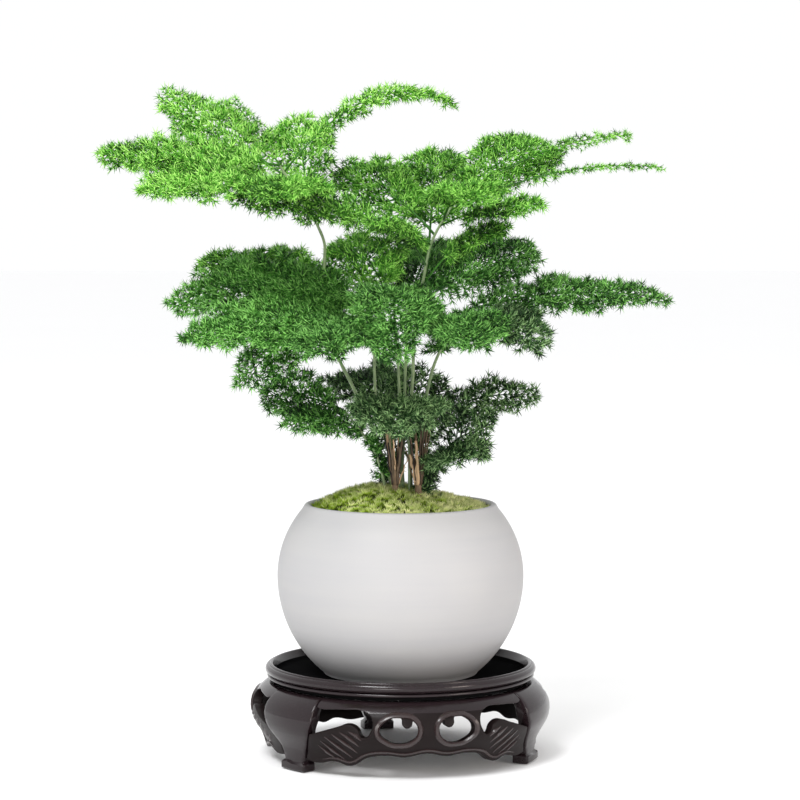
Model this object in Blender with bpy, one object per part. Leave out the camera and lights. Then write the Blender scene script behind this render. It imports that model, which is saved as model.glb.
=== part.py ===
"""An asparagus fern trained as a small cloud tree, in a ball pot on a carved round stand.

Metres, +Z up, the camera side is -Y. Sizes are worked out in a frame whose axis is the pot's
and whose floor is z = 0. One empty then carries everything, so that the middle of the whole
object's footprint is the origin. Pieces that rest on each other keep a 0.3 mm gap.
"""

import math
import random

import bmesh
import bpy
import numpy as np
from mathutils import Matrix, Vector, noise

MM = 0.001
GAP = 0.3 * MM
UP = Vector((0, 0, 1))

# The stand: a beaded tray on three cabriole legs with a pierced apron between each two
TRAY_FLOOR_Z = 45.7 * MM
TRAY_TOP_Z = 52.4 * MM
TRAY_UNDER_Z = 42.3 * MM
TRAY_RECESS_RADIUS = 70.2 * MM
TRAY_STEPS = 36
WAIST_RADIUS = 72.0 * MM
SHOULDER_Z = 42.0 * MM
SHOULDER_RADIUS = 76.5 * MM
BULGE_Z = 26.8 * MM
BULGE_RADIUS = 85.2 * MM
ANKLE_Z = 8.0 * MM
ANKLE_RADIUS = 78.0 * MM
LEG_DEPTH = 8.0 * MM
LEG_COUNT = 3
TOE_REACH = 1.6 * MM
TOE_Z = 4.5 * MM
APRON_DEPTH = 5.5 * MM
APRON_SETBACK = 0.8 * MM

# Angles round the stand in degrees, from the front. Seams are the gaps beside a leg.
FIRST_LEG_ANGLE = -49.5
LEG_SPACING = 360.0 / LEG_COUNT
LEG_SPAN = 29.0
SEAM = 0.25
LOWER_SEAM = 0.6

# Drawings of the carved boards, in degrees from the middle and millimetres above the floor.
# A leg is given as half its width at each height: small toe, slim ankle, wide knee.
LEG_WIDTHS = ((0, 7.2), (4, 7.2), (5.5, 6.0), (12, 7.6), (21, 11.6), (30, 14.3), (42, LEG_SPAN / 2))
APRON_TOP = [(44.0, 37.4), (33, 37.9), (24.5, 37.4), (21.2, 33.5), (21.9, 26.5), (24.6, 23.5)]
APRON_LEAF = [(26.8, 28.5), (30.5, 30.6), (35.5, 28.4), (41.5, 25.6)]
APRON_FOOT = [(46.5, 6.2), (38, 8.2), (31, 6.4), (24, 11.5), (16.5, 13.2), (8.5, 12.2), (0, 14.4)]
APRON_SEAM_HEIGHTS = (23, 15, 7)
RING_CURL = [(3.2, 27.5), (5.4, 33.3), (6.4, 30.4), (8.2, 29.2), (9.8, 31.0), (10.4, 34.6)]
RING_OPENING = [(14.6, 33.8), (18.6, 27.5), (14.6, 21.3), (11.1, 20.2), (6.4, 21.8)]
BOARD_HEIGHT = 42.0
BOARD_CELL_DEGREES = 10.0
BOARD_CELL_HEIGHT = 8.0

# The pot: two half ellipses that meet at the widest ring, cut off at the foot and the mouth
POT_RADIUS = 70.0 * MM
POT_WIDEST_Z = 102.0 * MM
POT_UPPER_AXIS = 62.7 * MM
POT_LOWER_AXIS = 70.5 * MM
POT_FOOT_Z = TRAY_FLOOR_Z + GAP
POT_RIM_Z = 142.9 * MM
POT_WALL = 4.4 * MM
LIP_RADIUS = 2.1 * MM
FOOT_RECESS_RADIUS = 36.0 * MM
FOOT_RECESS_DEPTH = 2.0 * MM
FOOT_BEVEL = 1.2 * MM
POT_STEPS = 28

# What fills the pot
SOIL_TOP_Z = 134.0 * MM
SOIL_CLEARANCE = 0.45 * MM
MOSS_RADIUS = 49.8 * MM
MOSS_EDGE_Z = 139.0 * MM
MOSS_RISE = 12.0 * MM
MOSS_PEAK_X = -8.0 * MM
MOSS_LUMP = 1.6 * MM
MOSS_STEPS = 28
MOSS_RINGS = 5
MOSS_RIM = 1.2 * MM
HOLE_BOTTOM_Z = 121.5 * MM
CANE_FOOT_Z = HOLE_BOTTOM_Z + GAP
MOSS_CLEAR_Z = 155.0 * MM

# The canes: base radius and tip radius, where each stands in the soil, then the points it
# passes through. Millimetres, x to the right, y away from the front, z up from the floor.
CANES = {
    "cane_tall_left": (1.15, 0.75, (-5, 1.5), [(-16, 0, 185), (-29, 2, 213), (-39, 4, 235),
                       (-44, 5, 267), (-43, 4, 290), (-53, 0, 311), (-68, -4, 334)]),
    "cane_mid_left": (1.05, 0.75, (-1, -8), [(-8, -7, 185), (-14, -5, 204), (-15, -3, 235),
                      (-18, -2, 258)]),
    "cane_middle": (1.05, 0.75, (1.5, -1.5), [(0, 0, 184), (-1, 2, 215), (-4, 4, 258)]),
    "cane_tall_right": (1.15, 0.7, (6, 4), [(5, 4, 184), (7, 5, 214), (8, 6, 240), (12, 6, 264),
                        (17, 4, 289), (24, 2, 303), (33, 0, 317)]),
    "cane_dark_right": (1.1, 0.75, (11.5, 4), [(13, 5, 190), (18, 4, 218), (26, 2, 236),
                        (36, 0, 252)]),
    "cane_back": (1.05, 0.75, (0.5, 9), [(2, 13, 184), (3, 22, 223), (5, 32, 257)]),
    "cane_low_left": (0.95, 0.65, (-9, -5), [(-14, -7, 172), (-22, -10, 184), (-31, -12, 196)]),
    "cane_low_front": (0.95, 0.65, (5, -6.5), [(5, -7, 172), (4.5, -10, 192)]),
    "cane_low_back": (0.95, 0.65, (-6, 8.5), [(-5, 16, 178), (-7, 26, 197)]),
    "cane_low_bush": (0.95, 0.65, (14, -8), [(19, -13, 166), (26, -18, 175)]),
    "cane_old_tan": (2.3, 2.1, (10, -16), [(10, -16, 157)]),
    "cane_old_brown": (2.3, 2.1, (-3, -16.5), [(-3, -16.5, 157)]),
}
CANE_SIDES = 5

# The two old canes are crowns. Dry stems stand on them in a fan, cut off at these heights in mm
# above the crown, and spread by so much across and in depth.
DRY_STEMS = {"cane_old_tan": (18, 27, 15, 23, 31), "cane_old_brown": (24, 16, 28, 19, 22)}
DRY_SPREAD = Vector((4.8, 2.8, 0)) * MM
DRY_RADIUS = 1.05 * MM
DRY_RINGS = 3

# The fronds, in layers from the top down. Each has the cane that bears it, how far up that cane
# it leaves (1 is the cane's end), where its own tip is, half its width, how high its back
# arches, how far it leans to the front in degrees, and how much of it is bare stalk.
FRONDS = {
    "frond_a_left": ("cane_tall_left", 1, (-164, -40, 339), 29, 3, 32, 0.05),
    "frond_a_upper": ("cane_tall_left", 0.96, (-137, 45, 377), 24, 1, 45, 0.2),
    "frond_a_notch": ("cane_tall_left", 0.92, (-97, 45, 373), 8, 1, 40, 0.3),
    "frond_a_arch": ("cane_tall_left", 0.98, (31, 15, 369), 11, 22, 30, 0.15),
    "frond_a_right": ("cane_tall_left", 0.87, (-60, 45, 362), 26, 5, 45, 0.15),
    "frond_a_low": ("cane_tall_left", 0.94, (-136, -75, 318), 34, 8, 25, 0.15),
    "frond_a_front": ("cane_tall_left", 0.9, (-66, -85, 316), 34, 10, 15, 0.12),
    "frond_b_left": ("cane_tall_right", 0.84, (-92, -55, 315), 22, 9, 32, 0.25),
    "frond_b_front": ("cane_tall_right", 0.78, (-14, -64, 302), 18, 8, 15, 0.2),
    "frond_b_back_left": ("cane_tall_right", 0.87, (-33, 48, 335), 28, 5, 42, 0.2),
    "frond_b_right": ("cane_tall_right", 1, (88, 35, 345), 30, 7, 42, 0.05),
    "frond_b_right_low": ("cane_tall_right", 0.9, (78, -35, 312), 17, 4, 28, 0.2),
    "frond_b_shelf": ("cane_tall_right", 0.72, (60, -15, 298), 15, 10, 30, 0.25),
    "frond_b_wisp_up": ("cane_tall_right", 0.98, (132, 28, 352), 7, 9, 30, 0.4),
    "frond_b_wisp_low": ("cane_tall_right", 0.95, (146, -10, 333), 5, 9, 20, 0.45),
    "frond_b_front_right": ("cane_tall_right", 0.92, (42, -75, 314), 28, 12, 15, 0.12),
    "frond_b_back": ("cane_tall_right", 0.81, (22, 78, 343), 32, 5, 22, 0.2),
    "frond_c_upper": ("cane_mid_left", 0.97, (-116, 40, 279), 26, 8, 36, 0.12),
    "frond_c_left": ("cane_mid_left", 1, (-128, -15, 256), 33, 12, 34, 0.08),
    "frond_c_front": ("cane_mid_left", 0.92, (-113, -80, 239), 34, 8, 25, 0.12),
    "frond_c_droop": ("cane_mid_left", 0.83, (-88, -50, 213), 21, 18, 35, 0.5),
    "frond_c_back": ("cane_mid_left", 0.88, (-85, 75, 260), 32, 6, 20, 0.2),
    "frond_d_front_left": ("cane_mid_left", 0.85, (-44, -98, 233), 34, 10, 15, 0.12),
    "frond_d_back_left": ("cane_middle", 0.96, (-30, 60, 293), 28, 5, 40, 0.2),
    "frond_d_front": ("cane_middle", 1, (-3, -100, 230), 32, 18, 15, 0.1),
    "frond_d_back": ("cane_back", 1, (22, 96, 290), 32, 5, 25, 0.05),
    "frond_d_back_right": ("cane_back", 0.94, (78, 55, 286), 29, 7, 38, 0.2),
    "frond_d_long": ("cane_dark_right", 1, (150, -10, 259), 20, 7, 33, 0.05),
    "frond_d_right_low": ("cane_dark_right", 0.88, (76, -60, 234), 27, 13, 28, 0.12),
    "frond_d_front_right": ("cane_dark_right", 0.82, (40, -94, 236), 30, 15, 15, 0.12),
    "frond_e_left": ("cane_low_left", 1, (-76, -20, 205), 22, 4, 42, 0.05),
    "frond_e_left_low": ("cane_low_left", 0.82, (-62, -48, 190), 16, 7, 38, 0.1),
    "frond_e_right": ("cane_dark_right", 0.5, (78, -2, 204), 16, 6, 50, 0.1),
    "frond_e_front": ("cane_low_front", 1, (-6, -80, 190), 34, 12, 20, 0.05),
    "frond_e_core": ("cane_low_back", 0.5, (16, 34, 216), 29, 2, 72, 0.1),
    "frond_e_bush": ("cane_low_bush", 1, (47, -30, 185), 25, 4, 64, 0.05),
    "frond_e_low": ("cane_low_bush", 0.75, (34, -45, 171), 18, 6, 38, 0.1),
    "frond_e_back": ("cane_low_back", 1, (-26, 70, 212), 34, 5, 40, 0.05),
}
STATION_SPACING = 13.0 * MM
WISP_SPACING = 10.0 * MM
WISP_WIDTH = 12.0 * MM
WHORL_SPACING = 12.0 * MM
WHORL = 2.0 * MM
NEEDLE = 6.5 * MM
WISP_NEEDLE = 4.0 * MM
NEEDLE_LEAN = math.radians(38)
NEEDLE_RADIUS = 0.35 * MM
BRANCH_LEAN = math.radians(32)
RACHIS = 1.0 * MM
RACHIS_TIP = 0.55 * MM
CORE = 0.75 * MM
CORE_TIP = 0.45 * MM
WIDEST_SHARE = 0.33
TIP_DROOP = 0.12
CLEARANCE = 0.45 * MM
SEED = 20


def clear_scene():
    for obj in list(bpy.data.objects):
        bpy.data.objects.remove(obj)


def make_material(name, colour, roughness, metallic=0.0):
    material = bpy.data.materials.new(name)
    material.use_nodes = True
    shader = material.node_tree.nodes["Principled BSDF"]
    shader.inputs["Base Color"].default_value = (*colour, 1)
    shader.inputs["Roughness"].default_value = roughness
    shader.inputs["Metallic"].default_value = metallic
    material.diffuse_color = (*colour, 1)
    return material


def make_object(name, mesh, material, sharp_angle=40):
    mesh.materials.clear()
    mesh.materials.append(material)
    mesh.shade_smooth()
    mesh.set_sharp_from_angle(angle=math.radians(sharp_angle))
    obj = bpy.data.objects.new(name, mesh)
    bpy.context.scene.collection.objects.link(obj)
    return obj


def mesh_from(name, bm):
    mesh = bpy.data.meshes.new(name)
    bm.to_mesh(mesh)
    bm.free()
    return mesh


def apply_modifiers(obj):
    """The object keeps its evaluated shape and loses its modifiers."""
    graph = bpy.context.evaluated_depsgraph_get()
    shaped = bpy.data.meshes.new_from_object(obj.evaluated_get(graph))
    obj.modifiers.clear()
    obj.data = shaped


def turned(name, profile, steps, material):
    """A solid of revolution. The profile runs from the axis out, down the outer side and back in."""
    bm = bmesh.new()
    points = [bm.verts.new((radius, 0, z)) for radius, z in profile]
    for first, second in zip(points, points[1:]):
        bm.edges.new((first, second))
    obj = make_object(name, mesh_from(name, bm), material)
    screw = obj.modifiers.new("turn", "SCREW")
    screw.steps = screw.render_steps = steps
    screw.use_merge_vertices = True
    screw.merge_threshold = 0.00001
    screw.use_smooth_shade = True
    return obj


def arc(centre, radius, start, end, count):
    """Points on a round moulding, with angles in degrees from the outward direction."""
    for i in range(count + 1):
        angle = math.radians(start + (end - start) * i / count)
        yield centre[0] + radius * math.cos(angle), centre[1] + radius * math.sin(angle)


def stand_radius(z):
    """The outer face of legs and aprons: shoulder, bulge, then in to the ankle."""
    if z >= BULGE_Z:
        rise = (z - BULGE_Z) / (SHOULDER_Z - BULGE_Z)
        return BULGE_RADIUS - (BULGE_RADIUS - SHOULDER_RADIUS) * rise**2.7
    fall = min((BULGE_Z - z) / (BULGE_Z - ANKLE_Z), 1)
    return ANKLE_RADIUS + (BULGE_RADIUS - ANKLE_RADIUS) * (0.5 + 0.5 * math.cos(math.pi * fall))


def leg_half_angle(z):
    """Half the width of a leg in degrees, at a height in millimetres."""
    for (below, narrow), (above, wide) in zip(LEG_WIDTHS, LEG_WIDTHS[1:]):
        if z <= above:
            return narrow + (z - below) / (above - below) * (wide - narrow)
    return LEG_WIDTHS[-1][1]


def bezier_loop(curve, points, flat=()):
    """A closed outline through (angle, height) points. The points listed in flat are corners."""
    spline = curve.splines.new("BEZIER")
    spline.bezier_points.add(len(points) - 1)
    spline.use_cyclic_u = True
    spline.resolution_u = 2
    for i, (angle, z) in enumerate(points):
        point = spline.bezier_points[i]
        point.co = (angle, z, 0)
        kind = "VECTOR" if i in flat else "AUTO"
        point.handle_left_type = kind
        point.handle_right_type = kind


def bent_board(name, loops, middle, depth, setback, material, toe=0.0):
    """A board cut to a drawn outline, then bent on to the stand's bulge.

    The outline is drawn flat, in degrees across and millimetres up. A slab of small cells is
    cut to it, so that every face is short enough to follow the bend.
    """
    curve = bpy.data.curves.new(name, "CURVE")
    curve.dimensions = "2D"
    curve.fill_mode = "BOTH"
    curve.extrude = 2
    for points, flat in loops:
        bezier_loop(curve, points, flat)
    drawn = bpy.data.objects.new(name + "_outline", curve)
    bpy.context.scene.collection.objects.link(drawn)
    bpy.context.view_layer.update()
    cutter_mesh = bpy.data.meshes.new_from_object(drawn)
    bpy.data.objects.remove(drawn)
    bm = bmesh.new()
    bm.from_mesh(cutter_mesh)
    bmesh.ops.remove_doubles(bm, verts=bm.verts, dist=0.0001)
    bmesh.ops.recalc_face_normals(bm, faces=bm.faces)
    cutter = bpy.data.objects.new(name + "_cutter", mesh_from(name + "_cutter", bm))
    bpy.context.scene.collection.objects.link(cutter)

    widest = max(abs(angle) for points, _ in loops for angle, _ in points)
    across = max(2, round(2 * widest / BOARD_CELL_DEGREES))
    up = round(BOARD_HEIGHT / BOARD_CELL_HEIGHT)
    bm = bmesh.new()
    bmesh.ops.create_grid(bm, x_segments=across, y_segments=up, size=1)
    for vert in bm.verts:
        height = (vert.co.y + 1) / 2 * (BOARD_HEIGHT + 2) - 1
        vert.co = Vector((vert.co.x * (widest + 2), height, 0.5))
    whole = bmesh.ops.extrude_face_region(bm, geom=bm.faces[:])
    for vert in whole["geom"]:
        if isinstance(vert, bmesh.types.BMVert):
            vert.co.z = -0.5
    bmesh.ops.recalc_face_normals(bm, faces=bm.faces)
    obj = make_object(name, mesh_from(name, bm), material, 50)
    cut = obj.modifiers.new("outline", "BOOLEAN")
    cut.operation = "INTERSECT"
    cut.object = cutter
    apply_modifiers(obj)
    bpy.data.objects.remove(cutter)

    for vert in obj.data.vertices:
        z = min(vert.co.y, BOARD_HEIGHT) * MM
        inward = depth * (0.5 - vert.co.z)
        radius = stand_radius(z) - setback - inward
        if z < TOE_Z and vert.co.z > 0:
            radius += toe
        angle = math.radians(middle + vert.co.x)
        vert.co = Vector((radius * math.sin(angle), -radius * math.cos(angle), z))
    obj.data.validate()
    bm = bmesh.new()
    bm.from_mesh(obj.data)
    bmesh.ops.triangulate(bm, faces=bm.faces, quad_method="BEAUTY", ngon_method="BEAUTY")
    bm.to_mesh(obj.data)
    bm.free()
    return obj


def make_tray(wood):
    """The round board: recess, lip, a fat bead, a thin bead and the groove above the shoulder."""
    lip = list(arc((73.6 * MM, TRAY_TOP_Z - 0.9 * MM), 0.9 * MM, 150, 0, 3))
    fat = list(arc((74.4 * MM, 49.2 * MM), 2.6 * MM, 70, -80, 5))
    thin = list(arc((75.0 * MM, 45.4 * MM), 1.0 * MM, 80, -80, 2))
    profile = [(0, TRAY_FLOOR_Z), (TRAY_RECESS_RADIUS, TRAY_FLOOR_Z)]
    profile += [(TRAY_RECESS_RADIUS + 1.2 * MM, TRAY_FLOOR_Z + 0.9 * MM)]
    profile += lip + fat + thin
    profile += [(WAIST_RADIUS, 44.2 * MM), (WAIST_RADIUS, TRAY_UNDER_Z), (0, TRAY_UNDER_Z)]
    return turned("stand_tray", profile, TRAY_STEPS, wood)


def mirrored(points):
    return [(-angle, z) for angle, z in reversed(points)]


def apron_outline():
    """The outline of a whole apron, and which of its points are corners."""
    side = LEG_SPACING / 2 - LEG_SPAN / 2 - SEAM
    middle = LEG_SPACING / 2 - LOWER_SEAM
    seam = [(middle - leg_half_angle(z), z) for z in APRON_SEAM_HEIGHTS]
    half = [(side, BOARD_HEIGHT), (side, 38.2)] + APRON_TOP + APRON_LEAF + seam + APRON_FOOT
    outline = half + mirrored(half[:-1])
    first_seam = half.index(seam[0])
    corners = [0, 1] + list(range(first_seam, first_seam + len(seam)))
    return outline, corners + [len(outline) - 1 - i for i in corners]


def make_stand(wood):
    pieces = [make_tray(wood)]
    half = [(leg_half_angle(z), z) for z, _ in LEG_WIDTHS]
    leg = mirrored(half)[::-1] + half[::-1]
    outline, corners = apron_outline()
    ring = RING_CURL + RING_OPENING
    for k in range(LEG_COUNT):
        angle = FIRST_LEG_ANGLE + LEG_SPACING * k
        loops = [(leg, range(len(leg)))]
        pieces.append(bent_board(f"stand_leg_{k + 1}", loops, angle, LEG_DEPTH, 0, wood, TOE_REACH))
        loops = [(outline, corners), (ring, ()), (mirrored(ring), ())]
        angle += LEG_SPACING / 2
        name = f"stand_apron_{k + 1}"
        pieces.append(bent_board(name, loops, angle, APRON_DEPTH, APRON_SETBACK, wood))
    return pieces


def pot_radius(z):
    """The outside of the pot at a height."""
    axis = POT_UPPER_AXIS if z > POT_WIDEST_Z else POT_LOWER_AXIS
    return POT_RADIUS * math.sqrt(max(1 - ((z - POT_WIDEST_Z) / axis) ** 2, 0))


def pot_inside():
    """The inner wall from the axis up to the neck, as (radius, height)."""
    floor = POT_FOOT_Z + FOOT_RECESS_DEPTH + POT_WALL
    neck = POT_RIM_Z - 4 * MM
    yield 0, floor
    for i in range(6):
        z = floor + (neck - floor) * i / 5
        corner = 2 * MM if i == 0 else 0
        yield pot_radius(z) - POT_WALL - corner, z


def make_pot(white):
    lip_z = POT_RIM_Z - LIP_RADIUS
    lip_radius = pot_radius(lip_z) - LIP_RADIUS
    profile = list(pot_inside()) + list(arc((lip_radius, lip_z), LIP_RADIUS, 170, 20, 3))
    wall_top = lip_z - 2.5 * MM
    wall_foot = POT_FOOT_Z + 1.5 * MM
    for i in range(9):
        z = wall_top + (wall_foot - wall_top) * i / 8
        profile.append((pot_radius(z), z))
    recess = POT_FOOT_Z + FOOT_RECESS_DEPTH
    profile.append((pot_radius(POT_FOOT_Z) - FOOT_BEVEL, POT_FOOT_Z))
    profile.append((FOOT_RECESS_RADIUS + 1.5 * MM, POT_FOOT_Z))
    profile += [(FOOT_RECESS_RADIUS, recess), (0, recess)]
    return turned("pot", profile, POT_STEPS, white)


def cut_holes(obj, bottom, top):
    """Plain six-sided holes where the canes stand, a little wider than each cane."""
    bm = bmesh.new()
    for foot_radius, _, (x, y), _ in CANES.values():
        radius = (foot_radius * MM + GAP) / math.cos(math.pi / 6)
        place = Matrix.Translation((x * MM, y * MM, (bottom + top) / 2))
        bmesh.ops.create_cone(bm, cap_ends=True, segments=6, radius1=radius, radius2=radius,
                              depth=top - bottom, matrix=place)
    cutter = bpy.data.objects.new(obj.name + "_holes", mesh_from(obj.name + "_holes", bm))
    bpy.context.scene.collection.objects.link(cutter)
    cut = obj.modifiers.new("holes", "BOOLEAN")
    cut.operation = "DIFFERENCE"
    cut.object = cutter
    apply_modifiers(obj)
    bpy.data.objects.remove(cutter)


def make_soil(earth):
    wall = [(max(radius - SOIL_CLEARANCE, 0), z) for radius, z in pot_inside()]
    floor = wall[0][1] + SOIL_CLEARANCE
    below = [(wall[0][0], floor), (wall[1][0], floor)]
    below += [(radius, z) for radius, z in wall[2:] if z < SOIL_TOP_Z - 3 * MM]
    edge = pot_radius(SOIL_TOP_Z) - POT_WALL - 2 * SOIL_CLEARANCE
    profile = [(0, SOIL_TOP_Z), (edge, SOIL_TOP_Z)] + below[::-1]
    soil = turned("soil", profile, POT_STEPS, earth)
    apply_modifiers(soil)
    cut_holes(soil, HOLE_BOTTOM_Z, SOIL_TOP_Z + 5 * MM)
    return soil


def moss_height(x, y):
    """A low mound whose crest is left of the middle, lumpy all over."""
    reach = min(math.hypot(x, y) / MOSS_RADIUS, 1)
    crest = math.hypot(x - MOSS_PEAK_X * (1 - reach), y) / MOSS_RADIUS
    lump = noise.noise(Vector((x, y, 0)) / (9 * MM))
    lump += 0.5 * noise.noise(Vector((x, y, 1)) / (4 * MM))
    mound = MOSS_RISE * max(1 - crest**2, 0) ** 0.8
    return MOSS_EDGE_Z + mound + MOSS_LUMP * lump * (1 - reach**4)


def make_moss(green):
    profile = []
    for i in range(MOSS_RINGS + 1):
        share = i / MOSS_RINGS
        profile.append((MOSS_RADIUS * share, MOSS_EDGE_Z + (1 - share) * MM))
    profile.append((MOSS_RADIUS + MOSS_RIM, SOIL_TOP_Z + 2 * MM))
    profile += [(MOSS_RADIUS, SOIL_TOP_Z + GAP), (0, SOIL_TOP_Z + GAP)]
    moss = turned("moss", profile, MOSS_STEPS, green)
    apply_modifiers(moss)
    for vert in moss.data.vertices:
        if vert.co.z > MOSS_EDGE_Z - 0.01 * MM:
            vert.co.z = moss_height(vert.co.x, vert.co.y)
    cut_holes(moss, SOIL_TOP_Z - 5 * MM, MOSS_EDGE_Z + 2 * MOSS_RISE)
    return moss


def smooth_path(points, pieces):
    """Points on a smooth curve through the given ones, with so many pieces between each two."""
    ends = [2 * points[0] - points[1]] + points + [2 * points[-1] - points[-2]]
    path = [points[0]]
    for before, start, end, after in zip(ends, ends[1:], ends[2:], ends[3:]):
        for i in range(1, pieces + 1):
            t = i / pieces
            path.append(
                0.5 * (2 * start + (end - before) * t
                       + (2 * before - 5 * start + 4 * end - after) * t**2
                       + (3 * start - before - 3 * end + after) * t**3)
            )
    return path


def start_tube(bm, start, end, radius, end_radius, side, sides):
    """The first length of a shoot, closed at both ends. Its growing end face is returned."""
    along = (end - start).normalized()
    across = (side - side.dot(along) * along).normalized()
    turn = Matrix((-across, across.cross(along), along)).transposed().to_4x4()
    place = Matrix.Translation((start + end) / 2) @ turn
    made = bmesh.ops.create_cone(bm, cap_ends=True, segments=sides, radius1=radius,
                                 radius2=end_radius, depth=(end - start).length, matrix=place)
    faces = {face for vert in made["verts"] for face in vert.link_faces}
    for face in faces:
        face.normal_update()
    return max(faces, key=lambda face: face.normal.dot(along))


def extend(bm, face, target, along, radius):
    """Grows a shoot by one length. Returns its new end face and the side faces of the length."""
    face = bmesh.ops.extrude_discrete_faces(bm, faces=[face])["faces"][0]
    verts = list(face.verts)
    middle = face.calc_center_median()
    along = along.normalized()
    first = verts[0].co - middle
    across = (first - first.dot(along) * along).normalized()
    upward = along.cross(across)
    step = math.tau / len(verts)
    turns = []
    for i, vert in enumerate(verts):
        offset = vert.co - middle
        turns.append(math.atan2(offset.dot(upward), offset.dot(across)) - i * step)
    start = math.atan2(sum(map(math.sin, turns)), sum(map(math.cos, turns)))
    for i, vert in enumerate(verts):
        angle = start + i * step
        vert.co = target + radius * (math.cos(angle) * across + math.sin(angle) * upward)
    sides = [other for edge in face.edges for other in edge.link_faces if other is not face]
    return face, sides


def sharpen(bm, face, tip):
    """Draws a face out to one point, as a needle or the end of a shoot."""
    peak = bmesh.ops.poke(bm, faces=[face])["verts"][0]
    peak.co = tip


def cane_path(name):
    _, _, (x, y), points = CANES[name]
    foot = [Vector((x, y, SOIL_TOP_Z / MM)), Vector((x, y, MOSS_CLEAR_Z / MM - 1))]
    bend = smooth_path(foot[1:] + [Vector(point) for point in points], 2)
    return [Vector((x, y, CANE_FOOT_Z / MM)) * MM] + [point * MM for point in bend]


def along_path(path, share):
    """The point and direction at a share of a path's length."""
    lengths = [(b - a).length for a, b in zip(path, path[1:])]
    left = share * sum(lengths)
    for a, b, length in zip(path, path[1:], lengths):
        if left <= length or b is path[-1]:
            return a.lerp(b, min(left / length, 1)), (b - a).normalized()
        left -= length


def grow_dry_stems(bm, crown, heights):
    """Splits a crown's top in one wedge for each dry stem and draws each wedge out to a stem."""
    middle = crown.calc_center_median()
    wedges = bmesh.ops.poke(bm, faces=[crown])["faces"]
    stems = []
    for wedge, height in zip(wedges, heights):
        root = wedge.calc_center_median()
        outward = (root - middle).normalized()
        top = middle + outward * DRY_SPREAD + UP * height * MM
        for i in range(1, DRY_RINGS + 1):
            ring = root.lerp(top, i / DRY_RINGS)
            wedge, _ = extend(bm, wedge, ring, top - root, DRY_RADIUS)
        stems.append((root, top, DRY_RADIUS))
    return stems


def make_cane(name, material):
    """A cane's solid, and the lines that it takes up in space, each with its radius."""
    foot_radius, tip_radius, _, _ = CANES[name]
    path = cane_path(name)
    taper = (tip_radius - foot_radius) / (len(path) - 1)
    radii = [(foot_radius + taper * i) * MM for i in range(len(path))]
    bm = bmesh.new()
    face = start_tube(bm, path[0], path[1], radii[0], radii[1], Vector((1, 0, 0)), CANE_SIDES)
    for i in range(2, len(path)):
        ahead = path[min(i + 1, len(path) - 1)] - path[i - 1]
        face, _ = extend(bm, face, path[i], ahead, radii[i])
    lines = [(a, b, radii[0]) for a, b in zip(path, path[1:])]
    if name in DRY_STEMS:
        lines += grow_dry_stems(bm, face, DRY_STEMS[name])
    return make_object(name, mesh_from(name, bm), material, 80), lines


def segment_gaps(p, q, starts, ends):
    """The distance from one segment to each of many."""
    d1 = q - p
    d2 = ends - starts
    r = p - starts
    a = d1 @ d1
    e = np.maximum((d2 * d2).sum(1), 1e-18)
    f = (d2 * r).sum(1)
    c = r @ d1
    b = d2 @ d1
    s = np.clip((b * f - c * e) / np.maximum(a * e - b * b, 1e-18), 0, 1)
    t = np.clip((b * s + f) / e, 0, 1)
    s = np.clip((t * b - c) / a, 0, 1)
    return np.linalg.norm(p + s[:, None] * d1 - starts - t[:, None] * d2, axis=1)


class Space:
    """Every length of cane, stalk and needle placed so far, so that the next keeps clear of it."""

    def __init__(self):
        self.starts, self.ends, self.radii, self.owners = [], [], [], []

    def add(self, start, end, radius, owner):
        self.starts.append(tuple(start))
        self.ends.append(tuple(end))
        self.radii.append(radius)
        self.owners.append(owner)
        self.arrays = None

    def is_clear(self, start, end, radius, own):
        if self.arrays is None:
            self.arrays = (np.array(self.starts), np.array(self.ends), np.array(self.radii))
        starts, ends, radii = self.arrays
        gaps = segment_gaps(np.array(start), np.array(end), starts, ends) - radii - radius
        return not any(owner not in own for owner, gap in zip(self.owners, gaps) if gap < CLEARANCE)


def frond_frame(along, lean):
    """Across and upward directions of a frond's flat plane, which leans to the front."""
    plane = Vector((0, -math.sin(math.radians(lean)), math.cos(math.radians(lean))))
    across = along.cross(plane).normalized()
    return across, across.cross(along)


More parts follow.
